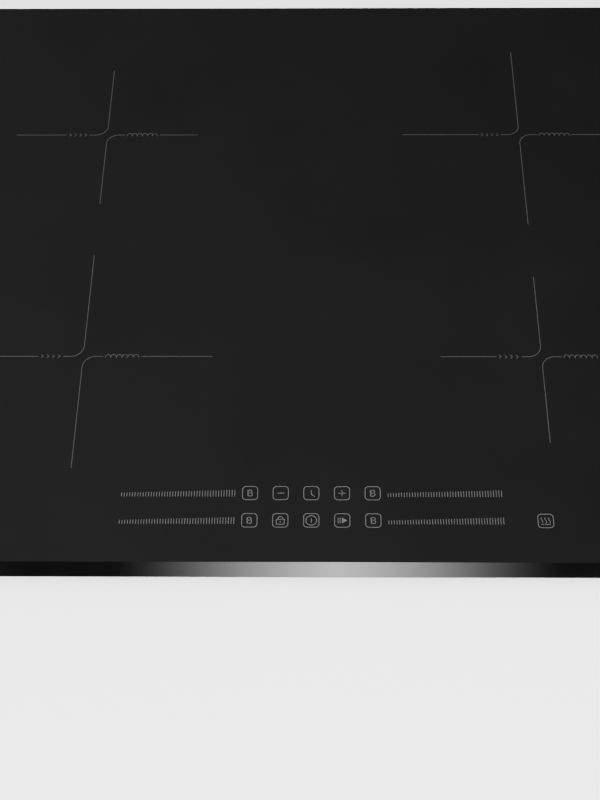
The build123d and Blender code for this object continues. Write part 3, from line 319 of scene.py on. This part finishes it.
def make_choke():
    """Copper wire wound over a ring core, as close bright turns."""
    made, tree, shader = new_material("choke")
    lay = {"bands_direction": "DIAGONAL", "Distortion": 1.2}
    turns = texture(tree, "Wave", 420.0, **lay).outputs["Fac"]
    mixed = blend_colours(tree, turns, (0.26, 0.08, 0.03), (0.75, 0.31, 0.12))
    tree.links.new(mixed, shader.inputs["Base Color"])
    shader.inputs["Metallic"].default_value = 0.8
    tree.links.new(spread(tree, turns, 0.4, 0.22, UNIT), shader.inputs["Roughness"])
    add_bump(tree, shader, turns, 300)
    return made


KEY_INK, ZONE_INK = 0.043, 0.026
M = {
    "glass": make_glass(),
    "key_print": make_print("key_print", KEY_INK),
    "zone_print": make_print("zone_print", ZONE_INK),
    "galvanised": make_galvanised(),
    "board": make_board(),
    "litz": make_litz(),
    "sleeve": make_woven(),
    "mica": make_mica(),
    "choke": make_choke(),
}
# Key, name, colour, roughness, metal, colour drift, patches and grain per metre, grain depth in um.
FINISHES = (
    ("foam", "seal_foam", (0.022, 0.022, 0.023), 0.9, 0, 0.3, 900, 2600, 250),
    ("silicone", "black_silicone", (0.02, 0.02, 0.021), 0.4, 0, 0.1, 60, 400, 80),
    ("frame_steel", "powder_coat", (0.03, 0.03, 0.032), 0.5, 0, 0.08, 60, 1900, 40),
    ("former", "former_plastic", (0.028, 0.028, 0.03), 0.5, 0, 0.2, 120, 1100, 40),
    ("ferrite", "ferrite", (0.035, 0.035, 0.04), 0.62, 0, 0.3, 300, 2400, 60),
    ("boot", "silicone_boot", (0.52, 0.52, 0.49), 0.5, 0, 0.08, 60, 800, 40),
    ("spring", "spring_steel", (0.62, 0.63, 0.64), 0.24, 1, 0.08, 60, 3000, 8),
    ("pin", "zinc_pin", (0.55, 0.57, 0.6), 0.34, 1, 0.12, 200, 2000, 10),
    ("aluminium", "mill_aluminium", (0.76, 0.765, 0.77), 0.36, 1, 0.06, 14, 900, 10),
    ("extrusion", "extruded_aluminium", (0.7, 0.71, 0.72), 0.33, 1, 0.07, 40, 1500, 20),
    ("epoxy", "package_epoxy", (0.018, 0.018, 0.019), 0.45, 0, 0.15, 400, 2600, 30),
    ("tinned", "tinned_leads", (0.66, 0.67, 0.67), 0.28, 1, 0.1, 300, 1800, 10),
    ("film_case", "film_capacitor_case", (0.5, 0.5, 0.47), 0.35, 0, 0.06, 90, 1200, 20),
    ("yellow_case", "filter_capacitor_case", (0.55, 0.4, 0.05), 0.32, 0, 0.06, 90, 1200, 20),
    ("can_sleeve", "capacitor_sleeve", (0.012, 0.016, 0.05), 0.28, 0, 0.12, 90, 900, 10),
    ("can_top", "capacitor_top", (0.72, 0.73, 0.73), 0.35, 1, 0.08, 200, 2200, 10),
    ("varistor", "varistor", (0.02, 0.06, 0.2), 0.4, 0, 0.12, 300, 900, 40),
    ("fuse", "fuse_sleeve", (0.6, 0.57, 0.5), 0.35, 0, 0.08, 300, 900, 20),
    ("fan_plastic", "fan_plastic", (0.02, 0.02, 0.021), 0.42, 0, 0.15, 150, 1700, 30),
    ("impeller", "impeller_plastic", (0.035, 0.035, 0.038), 0.38, 0, 0.12, 150, 1700, 20),
    ("laminate", "motor_laminate", (0.32, 0.31, 0.3), 0.4, 1, 0.2, 300, 1600, 50),
    ("nylon", "natural_nylon", (0.74, 0.72, 0.66), 0.45, 0, 0.05, 200, 1200, 20),
    ("white_plastic", "carrier_plastic", (0.62, 0.62, 0.6), 0.48, 0, 0.05, 60, 1700, 20),
    ("pad", "conductive_foam", (0.06, 0.06, 0.062), 0.9, 0, 0.4, 1800, 3200, 200),
    ("display", "display_window", (0.02, 0.006, 0.006), 0.12, 0, 0.1, 100, 500, 0),
    ("terminal", "terminal_plastic", (0.032, 0.032, 0.034), 0.5, 0, 0.12, 90, 2000, 40),
    ("cover", "cover_plastic", (0.04, 0.04, 0.043), 0.46, 0, 0.12, 90, 2000, 40),
    ("block", "block_plastic", (0.66, 0.63, 0.54), 0.42, 0, 0.06, 150, 1500, 20),
    ("brass", "plated_brass", (0.72, 0.6, 0.34), 0.3, 1, 0.1, 400, 2000, 20),
    ("grommet", "grommet_rubber", (0.018, 0.018, 0.018), 0.6, 0, 0.2, 500, 1500, 50),
    ("screw", "zinc_screw", (0.6, 0.61, 0.64), 0.28, 1, 0.12, 500, 2200, 10),
    ("foil", "label_foil", (0.7, 0.705, 0.71), 0.4, 0.9, 0.04, 60, 1400, 20),
    ("label_ink", "label_ink", (0.02, 0.02, 0.022), 0.4, 0, 0.15, 800, 1500, 10),
    ("wire_brown", "wire_brown", (0.1, 0.035, 0.014), 0.36, 0, 0.1, 150, 900, 20),
    ("wire_blue", "wire_blue", (0.012, 0.045, 0.28), 0.36, 0, 0.1, 150, 900, 20),
    ("wire_earth", "wire_earth", (0.2, 0.42, 0.03), 0.36, 0, 0.5, 90, 900, 20),
    ("ribbon", "ribbon_grey", (0.42, 0.43, 0.44), 0.4, 0, 0.06, 100, 520, 250),
    ("green_block", "screw_block", (0.03, 0.24, 0.1), 0.4, 0, 0.08, 200, 1500, 20),
)
# What else sets a finish apart: brushed or ribbed along one axis, or glossier.
MARKED = {
    "ferrite": {"specular": 0.6},
    "aluminium": {"stretch": (1, 0.05, 1)},
    "extrusion": {"stretch": (1, 0.03, 1)},
    "laminate": {"stretch": (0.05, 0.05, 1)},
    "foil": {"stretch": (0.1, 1, 1)},
    "ribbon": {"stretch": (1, 0.02, 0.02)},
}
for finish in FINISHES:
    M[finish[0]] = material(*finish[1:], **MARKED.get(finish[0], {}))


def paint(name, key):
    """Gives a CAD node one finish."""
    slots = NODES[name].data.materials
    slots.clear()
    slots.append(M[key])


def paint_by_place(mesh, keys, choose):
    """Gives each face the finish that choose(its centre in mm, its normal) names."""
    mesh.materials.clear()
    for key in keys:
        mesh.materials.append(M[key])
    order = {key: i for i, key in enumerate(keys)}
    for face in mesh.polygons:
        face.material_index = order[choose(face.center / MM, face.normal)]


PLAIN = {
    "glass_plate": "glass",
    "seal_tape": "foam",
    "bond_silicone": "silicone",
    "glass_frame": "frame_steel",
    "base_tray": "galvanised",
    "guide_pins": "pin",
    "coil_plate_left": "aluminium",
    "coil_plate_right": "aluminium",
    "power_board_left": "board",
    "power_board_right": "board",
    "filter_board": "board",
    "touch_board": "board",
    "heat_sinks": "extrusion",
    "power_chokes": "choke",
    "fan_housing_left": "fan_plastic",
    "fan_housing_right": "fan_plastic",
    "fan_impeller_left": "impeller",
    "fan_impeller_right": "impeller",
    "fan_motors": "laminate",
    "board_supports": "nylon",
    "touch_carrier": "white_plastic",
    "touch_pads": "pad",
    "display_modules": "display",
    "terminal_housing": "terminal",
    "terminal_cover": "cover",
    "cable_grommet": "grommet",
    "clip_tabs": "spring",
    "clip_front_left": "spring",
    "clip_front_right": "spring",
    "clip_rear_left": "spring",
    "clip_rear_right": "spring",
    "case_screws": "screw",
    "rating_plate": "foil",
}
for plain_node, plain_key in PLAIN.items():
    paint(plain_node, plain_key)
COIL_PIECES = {
    "former": "former",
    "winding": "litz",
    "ferrites": "ferrite",
    "mica": "mica",
    "sensor": "boot",
}
for zone in ZONES:
    for coil_piece, coil_key in COIL_PIECES.items():
        paint(f"coil_{coil_piece}_{zone}", coil_key)

# Where one node holds parts of several finishes: the lines between them, in mm.
BOARD_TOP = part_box("power_board_left")[1].z / MM
BLOCK_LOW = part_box("terminal_block")[0].z / MM
PACKAGE_EDGE_X, CAN_X = 122.3, 225.0
FILTER_SPLIT_X, FILTER_SPLIT_Y = -160.0, 120.0
RIBBON_Y, MAINS_Y = -150.0, 145.0
MAINS_WIRES, MAINS_FIRST_X, MAINS_PITCH = ("wire_brown", "wire_blue", "wire_earth"), -222.0, 16.0
LIVE_OUTER_X, LIVE_INNER_X, LIVE_TOP = -216.0, (-145.5, -130.0), -20.0
CLAMP_DEPTHS = (1.0, 6.4)
SCREW_BLOCK_H = 7.02


def semiconductor(at, normal):
    return "tinned" if abs(at.x) > PACKAGE_EDGE_X else "epoxy"


def capacitor(at, normal):
    if abs(at.x) < CAN_X:
        return "film_case"
    return "can_top" if normal.z > 0.7 else "can_sleeve"


def filter_part(at, normal):
    rear = at.y > FILTER_SPLIT_Y
    if at.x < FILTER_SPLIT_X:
        return "yellow_case" if rear else "choke"
    return "varistor" if rear else "fuse"


def wire(at, normal):
    if at.y < RIBBON_Y:
        return "ribbon"
    if at.y > MAINS_Y:
        place_in_row = round((at.x - MAINS_FIRST_X) / MAINS_PITCH)
        return MAINS_WIRES[min(len(MAINS_WIRES) - 1, max(0, place_in_row))]
    low_live = LIVE_INNER_X[0] < at.x < LIVE_INNER_X[1] and at.z < LIVE_TOP
    return "wire_brown" if low_live or at.x < LIVE_OUTER_X else "wire_blue"


def block_part(at, normal):
    deep = BLOCK_LOW + CLAMP_DEPTHS[0] < at.z < BLOCK_LOW + CLAMP_DEPTHS[1]
    return "brass" if deep and abs(normal.z) > 0.9 else "block"


def lead_part(at, normal):
    return "green_block" if at.z < BOARD_TOP + SCREW_BLOCK_H else "sleeve"


def spring_part(at, normal):
    return "spring"


MIXED = {
    "power_semiconductors": (["epoxy", "tinned"], semiconductor),
    "power_capacitors": (["film_case", "can_sleeve", "can_top"], capacitor),
    "filter_parts": (["choke", "yellow_case", "varistor", "fuse"], filter_part),
    "wiring": ([*MAINS_WIRES, "ribbon"], wire),
    "terminal_block": (["block", "brass"], block_part),
}
for mixed_node, (mixed_keys, mixed_choice) in MIXED.items():
    paint_by_place(NODES[mixed_node].data, mixed_keys, mixed_choice)


# ---- mesh helpers -------------------------------------------------------------------------------
def finish_piece(bm, name, key):
    """Turns a bmesh into a flat-shaded piece that rides on the hob's fixed body."""
    bmesh.ops.recalc_face_normals(bm, faces=bm.faces)
    mesh = bpy.data.meshes.new(name)
    bm.to_mesh(mesh)
    bm.free()
    mesh.materials.append(M[key])
    piece = bpy.data.objects.new(name, mesh)
    bpy.context.scene.collection.objects.link(piece)
    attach(piece, ROOT)


def add_prism(bm, outline, low, high):
    """A closed flat prism over an outline in mm."""
    bottom = [bm.verts.new((x * MM, y * MM, low * MM)) for x, y in outline]
    top = [bm.verts.new((x * MM, y * MM, high * MM)) for x, y in outline]
    bm.faces.new(top)
    bm.faces.new(bottom[::-1])
    for i in range(len(outline)):
        j = (i + 1) % len(outline)
        bm.faces.new((bottom[i], bottom[j], top[j], top[i]))


def add_ribbon(bm, points, width, low, high, closed=False):
    """A line of one width along points in mm, as a closed flat solid with mitred corners."""
    count = len(points)
    rails = []
    for i, point in enumerate(points):
        here = Vector(point)
        ways = []
        if closed or i:
            ways.append((here - Vector(points[i - 1])).normalized())
        if closed or i < count - 1:
            ways.append((Vector(points[(i + 1) % count]) - here).normalized())
        along = sum(ways, Vector((0, 0))).normalized()
        across = Vector((-along.y, along.x))
        reach = width / 2 / max(0.4, along.dot(ways[0]))
        rails.append((here + across * reach, here - across * reach))
    rings = []
    for left, right in rails:
        rings.append(
            [
                bm.verts.new((p.x * MM, p.y * MM, z * MM))
                for p, z in ((left, low), (left, high), (right, high), (right, low))
            ]
        )
    for i in range(count if closed else count - 1):
        one, two = rings[i], rings[(i + 1) % count]
        for k in range(4):
            bm.faces.new((one[k], one[(k + 1) % 4], two[(k + 1) % 4], two[k]))
    if not closed:
        bm.faces.new(rings[0])
        bm.faces.new(rings[-1][::-1])


def arc(cx, cy, radius, start, end, steps=10):
    """Points along an arc, angles in degrees."""
    return [
        (
            cx + radius * math.cos(math.radians(start + (end - start) * i / steps)),
            cy + radius * math.sin(math.radians(start + (end - start) * i / steps)),
        )
        for i in range(steps + 1)
    ]


def moved(points, dx, dy):
    """Points shifted in x and y."""
    return [(x + dx, y + dy) for x, y in points]


# ---- print on the glass -------------------------------------------------------------------------
INK_T = 0.03
INK_LOW, INK_HIGH = GLASS_TOP / MM, GLASS_TOP / MM + INK_T
ZONE_STROKE, KEY_STROKE, ICON_STROKE = 0.45, 0.48, 0.5
MARK_FILLET = 9.0
MARK_RADII = {"front_left": 90.0, "front_right": 70.0, "rear_left": 70.0, "rear_right": 90.0}
CHEVRONS, CHEVRON_LEAD, CHEVRON_PITCH, CHEVRON_REACH = 4, 2.2, 3.9, 1.5
GAP_START, BOOST_END, COIL_END = 14.0, 31.0, 40.5
HUMPS, HUMP_R, HUMP_LEAD, HUMP_RISE, HUMP_FOOT = 6, 1.95, 1.4, 1.45, -1.2


def zone_mark(name):
    """Two bent strokes that cross-mark a zone, with a boost and a coil pictogram set in them."""
    low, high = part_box(f"coil_mica_{name}")
    x, y = (low.x + high.x) / 2 / MM, (low.y + high.y) / 2 / MM
    reach, r = MARK_RADII[name], MARK_FILLET
    bm = bmesh.new()
    lines = [
        [(0, reach), *arc(-r, r, r, 0, -90), (-GAP_START, 0)],
        [(-BOOST_END, 0), (-reach, 0)],
        [(0, -reach), *arc(r, -r, r, 180, 90), (GAP_START, 0)],
        [(COIL_END, 0), (reach, 0)],
    ]
    # boost: a row of chevrons that point to the zone's middle
    for i in range(CHEVRONS):
        tip = -GAP_START - CHEVRON_LEAD - i * CHEVRON_PITCH
        tail = tip - CHEVRON_REACH
        lines.append([(tail, CHEVRON_REACH), (tip, 0), (tail, -CHEVRON_REACH)])
    for line in lines:
        add_ribbon(bm, moved(line, x, y), ZONE_STROKE, INK_LOW, INK_HIGH)
    # coil: an inductor's humps, taller than they are wide
    first = GAP_START + HUMP_LEAD + HUMP_R
    humps = []
    for i in range(HUMPS):
        turn = arc(first + i * 2 * HUMP_R, 0, HUMP_R, 180, 0, 8)
        humps += turn[1:] if humps else turn
    humps = [(px, py * HUMP_RISE + HUMP_FOOT) for px, py in humps]
    add_ribbon(bm, moved(humps, x, y), ZONE_STROKE, INK_LOW, INK_HIGH)
    finish_piece(bm, f"print_zone_{name}", "zone_print")


KEY_SIZE, KEY_CORNER, KEY_PITCH = 10.4, 2.3, 20.0
KEY_ROWS = {"lower": -221.0, "upper": -200.8}
LONE_KEY_X, LONE_KEY_STROKE = 151.0, 0.42


def box_outline(x0, x1, y0, y1):
    """The corners of a rectangle."""
    return [(x0, y0), (x1, y0), (x1, y1), (x0, y1)]


def key_outline():
    """A key's rounded square, round the middle of its line."""
    half, r = KEY_SIZE / 2 - KEY_STROKE / 2, KEY_CORNER
    c = half - r
    points = []
    for sx, sy, start in ((1, 1, 0), (-1, 1, 90), (-1, -1, 180), (1, -1, 270)):
        points += arc(sx * c, sy * c, r, start, start + 90, 6)
    return points


# Each icon below is (its strokes, its filled outlines), in mm round the key's middle.
def letter_b():
    spine, top, waist, foot = -1.45, 2.2, 0.12, -2.2
    upper_r, lower_r = (top - waist) / 2, (waist - foot) / 2
    upper = [(spine, top), *arc(0.2, top - upper_r, upper_r, 90, -90, 10), (spine, waist)]
    lower = [*arc(0.35, foot + lower_r, lower_r, 90, -90, 10), (spine, foot)]
    edge = ICON_STROKE / 2
    stem = box_outline(spine - edge, spine + 2 * edge, foot - edge, top + edge)
    return [upper, lower], [stem]


def minus():
    return [[(-2.35, 0), (2.35, 0)]], []


def plus():
    return [[(-2.35, 0), (2.35, 0)], [(0, 2.3), (0, -2.3)]], []


def clock():
    return [[(0, 2.3), (0, -0.5), (0.4, -1.2), (2.3, -2.6)]], []


def padlock():
    body = box_outline(-2.5, 2.5, -2.8, 0.7)
    shackle = [(-1.5, 0.7), (-1.5, 1.3), *arc(0, 1.3, 1.5, 180, 0, 10)[1:], (1.5, 0.7)]
    keyhole = box_outline(-0.25, 0.25, -1.7, -0.5)
    return [("closed", body), shackle], [keyhole]


def power():
    return [("closed", arc(0, 0, 3.5, 0, 360, 32)[:-1]), [(0, 1.7), (0, -1.7)]], []


def pause_play():
    half = 2.1
    bars = [box_outline(x, x + 0.45, -half, half) for x in (-2.85, -1.6)]
    triangle = [(-0.2, half), (3.3, 0.0), (-0.2, -half)]
    return [], [*bars, triangle]


def keep_warm():
    waves = [
        [(x + 0.5 * math.sin(t * math.pi / 4), -1.5 + t * 0.5) for t in range(9)]
        for x in (-2.4, 0.0, 2.4)
    ]
    base = [[(-3.1, -2.5), (-1.2, -2.5)], [(-0.6, -2.5), (3.1, -2.5)]]
    return waves + base, []


KEYS = (
    ("upper", -2, "boost_far_left", letter_b),
    ("upper", -1, "minus", minus),
    ("upper", 0, "timer", clock),
    ("upper", 1, "plus", plus),
    ("upper", 2, "boost_far_right", letter_b),
    ("lower", -2, "boost_near_left", letter_b),
    ("lower", -1, "lock", padlock),
    ("lower", 0, "power", power),
    ("lower", 1, "pause", pause_play),
    ("lower", 2, "boost_near_right", letter_b),
)


def make_key(label, x, y, icon, icon_stroke=ICON_STROKE):
    """A key's outline with its icon."""
    bm = bmesh.new()
    add_ribbon(bm, moved(key_outline(), x, y), KEY_STROKE, INK_LOW, INK_HIGH, closed=True)
    strokes, fills = icon()
    for stroke in strokes:
        closed = stroke[0] == "closed"
        line = stroke[1] if closed else stroke
        add_ribbon(bm, moved(line, x, y), icon_stroke, INK_LOW, INK_HIGH, closed)
    for fill in fills:
        add_prism(bm, moved(fill, x, y), INK_LOW, INK_HIGH)
    finish_piece(bm, f"print_key_{label}", "key_print")


TICKS, TICK_WIDTH = 43, 0.42
SLIDER_IN, SLIDER_OUT = 50.0, 124.0
TICK_BASE, TICK_SHORT, TICK_TALL = -2.7, 2.8, 5.0


def make_slider(row, side):
    """A row of ticks whose height grows from left to right."""
    left = SLIDER_IN if side == "right" else -SLIDER_OUT
    base = KEY_ROWS[row] + TICK_BASE
    bm = bmesh.new()
    for i in range(TICKS):
        x = left + (SLIDER_OUT - SLIDER_IN) * i / (TICKS - 1)
        tall = TICK_SHORT + (TICK_TALL - TICK_SHORT) * i / (TICKS - 1)
        half = TICK_WIDTH / 2
        add_prism(bm, box_outline(x - half, x + half, base, base + tall), INK_LOW, INK_HIGH)
    finish_piece(bm, f"print_slider_{row}_{side}", "key_print")


for zone in ZONES:
    zone_mark(zone)
for row_name, column, key_label, key_icon in KEYS:
    make_key(key_label, column * KEY_PITCH, KEY_ROWS[row_name], key_icon)
make_key("keep_warm", LONE_KEY_X, KEY_ROWS["lower"], keep_warm, LONE_KEY_STROKE)
for row_name in KEY_ROWS:
    for side_name in ("left", "right"):
        make_slider(row_name, side_name)


# ---- blank rating label -------------------------------------------------------------------------
LABEL_INSET, LABEL_FRAME, LABEL_RULE = 3.0, 0.5, 0.3
LABEL_ROWS, LABEL_COLUMN = (0.25, 0.5, 0.75), 0.38


def label_print():
    """The label's printed frame and the empty fields of a rating plate, seen from below."""
    low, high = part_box("rating_plate")
    left, right = low.x / MM + LABEL_INSET, high.x / MM - LABEL_INSET
    front, rear = low.y / MM + LABEL_INSET, high.y / MM - LABEL_INSET
    levels = (low.z / MM - INK_T, low.z / MM)
    bm = bmesh.new()
    add_ribbon(bm, box_outline(left, right, front, rear), LABEL_FRAME, *levels, closed=True)
    for share in LABEL_ROWS:
        y = front + (rear - front) * share
        add_ribbon(bm, [(left, y), (right, y)], LABEL_RULE, *levels)
    middle = low.x / MM + (high.x - low.x) / MM * LABEL_COLUMN
    add_ribbon(bm, [(middle, front), (middle, rear)], LABEL_RULE, *levels)
    finish_piece(bm, "print_label", "label_ink")


label_print()


# The line between the front and the rear zone, on each side.
SPRING_SPLIT_Y = {"left": 0.022, "right": 0.0}
LEAD_SPLIT_Y = {"left": -0.020, "right": -0.020}


def zone_copy(node_name, zone, split_y, keys, choose):
    """The part of a CAD node that belongs to one zone, as a piece of its own."""
    row, side = zone.split("_")
    sx = -1 if side == "left" else 1
    sy = -1 if row == "front" else 1
    bm = bmesh.new()
    bm.from_mesh(NODES[node_name].data)
    others = [v for v in bm.verts if v.co.x * sx < 0 or (v.co.y - split_y[side]) * sy < 0]
    bmesh.ops.delete(bm, geom=others, context="VERTS")
    mesh = bpy.data.meshes.new(f"{node_name}_{zone}")
    bm.to_mesh(mesh)
    bm.free()
    paint_by_place(mesh, keys, choose)
    for face in mesh.polygons:
        face.use_smooth = True
    piece = bpy.data.objects.new(f"{node_name}_{zone}", mesh)
    bpy.context.scene.collection.objects.link(piece)
    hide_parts(node_name)
    return piece


for zone in ZONES:
    springs = zone_copy("coil_springs", zone, SPRING_SPLIT_Y, ["spring"], spring_part)
    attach(springs, ROOT)
    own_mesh(springs)
    leads = zone_copy("coil_leads", zone, LEAD_SPLIT_Y, ["green_block", "sleeve"], lead_part)
    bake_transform(leads)


# ---- stage --------------------------------------------------------------------------------------
FLOOR_HALF, FLOOR_DROP = 9.0, 0.0002
FLOOR_TONES = ((0.86, 0.86, 0.86), (0.88, 0.88, 0.88))

# The strip that the bevel mirrors; its light fades out at CARD_FADE from its middle.
CARD_AT = (0.029, -0.457, 0.905)
CARD_HALF, CARD_DEPTH, CARD_PEAK, CARD_FADE = 0.80, 0.30, 18.0, 0.292

# Brightness of the surroundings by height, and how it leans to the left.
SKY_STOPS = ((0.0, 0.95), (0.35, 0.62), (0.66, 0.20), (0.89, 0.36), (1.0, 0.45))
SKY_LEAN_X, SKY_LEAN = (-0.4, 0.4), (1.36, 0.64)

LAMP_POWER, LAMP_COLOUR, LAMP_SIZE = 170.0, (1.0, 0.99, 0.98), (1.2, 0.9)
LAMP_X, LAMP_Y, LAMP_Z, LAMP_TILT, LAMP_REACH = 1.1, -1.3, 1.9, 34, 1.7


def make_lamp(name, x):
    """A soft area lamp in front of the hob, turned in towards it."""
    data = bpy.data.lights.new(name, "AREA")
    data.shape = "RECTANGLE"
    data.size, data.size_y = LAMP_SIZE
    data.energy = LAMP_POWER
    data.color = LAMP_COLOUR
    lamp = bpy.data.objects.new(name, data)
    lamp.location = (x, LAMP_Y, LAMP_Z)
    lamp.rotation_euler = (math.radians(LAMP_TILT), math.atan2(x, LAMP_REACH), 0)
    bpy.context.scene.collection.objects.link(lamp)


def stage_sheet(name, size, at, made):
    """A flat sheet that belongs to the stage."""
    bm = bmesh.new()
    bmesh.ops.create_grid(bm, x_segments=1, y_segments=1, size=0.5)
    bmesh.ops.scale(bm, vec=(*size, 1), verts=bm.verts)
    mesh = bpy.data.meshes.new(name)
    bm.to_mesh(mesh)
    bm.free()
    mesh.materials.append(made)
    sheet = bpy.data.objects.new(name, mesh)
    sheet.location = at
    bpy.context.scene.collection.objects.link(sheet)
    return sheet


def make_floor():
    """Pale studio sheet under the hob."""
    made, tree, shader = new_material("floor_pale")
    tone = spread(tree, noise(tree, 1.1, 3.0), 0, 1)
    tree.links.new(blend_colours(tree, tone, *FLOOR_TONES), shader.inputs["Base Color"])
    shader.inputs["Roughness"].default_value = 0.6
    shader.inputs["Specular IOR Level"].default_value = 0.2
    side = 2 * FLOOR_HALF
    stage_sheet("floor", (side, side), (0, 0, FLOOR_Z - FLOOR_DROP), made)


def make_card():
    """Overhead strip, lit in the middle and black at both ends: the bevel mirrors it."""
    made = bpy.data.materials.new("card_light")
    made.use_nodes = True
    tree = made.node_tree
    tree.nodes.clear()
    axes = node(
        tree,
        "ShaderNodeSeparateXYZ",
        [("Vector", node(tree, "ShaderNodeTexCoord").outputs["Object"])],
    )
    distance = maths(tree, "ABSOLUTE", axes.outputs["X"])
    fade = spread(tree, distance, 1.0, 0.0, (0.0, CARD_FADE))
    level = maths(tree, "MULTIPLY", maths(tree, "POWER", fade, 2.0), CARD_PEAK)
    glow = node(tree, "ShaderNodeEmission", [("Strength", level)])
    node(tree, "ShaderNodeOutputMaterial", [("Surface", glow.outputs[0])])
    card = stage_sheet("card", (2 * CARD_HALF, CARD_DEPTH), CARD_AT, made)
    card.visible_camera = False
    card.visible_shadow = False


def make_world():
    """Soft surroundings: bright at the horizon, dimmer at the height that the glass mirrors."""
    world = bpy.data.worlds.new("world")
    bpy.context.scene.world = world
    world.use_nodes = True
    tree = world.node_tree
    where = node(tree, "ShaderNodeTexCoord").outputs["Generated"]
    axes = node(tree, "ShaderNodeSeparateXYZ", [("Vector", where)])
    ramp = node(tree, "ShaderNodeValToRGB", [("Fac", axes.outputs["Z"])])
    ends = ramp.color_ramp.elements
    ends[0].position, ends[1].position = SKY_STOPS[0][0], SKY_STOPS[-1][0]
    ends[0].color = (*[SKY_STOPS[0][1]] * 3, 1)
    ends[1].color = (*[SKY_STOPS[-1][1]] * 3, 1)
    for position, level in SKY_STOPS[1:-1]:
        ends.new(position).color = (level, level, level, 1)
    background = tree.nodes["Background"]
    tree.links.new(ramp.outputs["Color"], background.inputs["Color"])
    lean = spread(tree, axes.outputs["X"], *SKY_LEAN, SKY_LEAN_X)
    tree.links.new(lean, background.inputs["Strength"])


make_camera()
make_floor()
make_card()
make_world()
make_lamp("key_left", -LAMP_X)
make_lamp("key_right", LAMP_X)
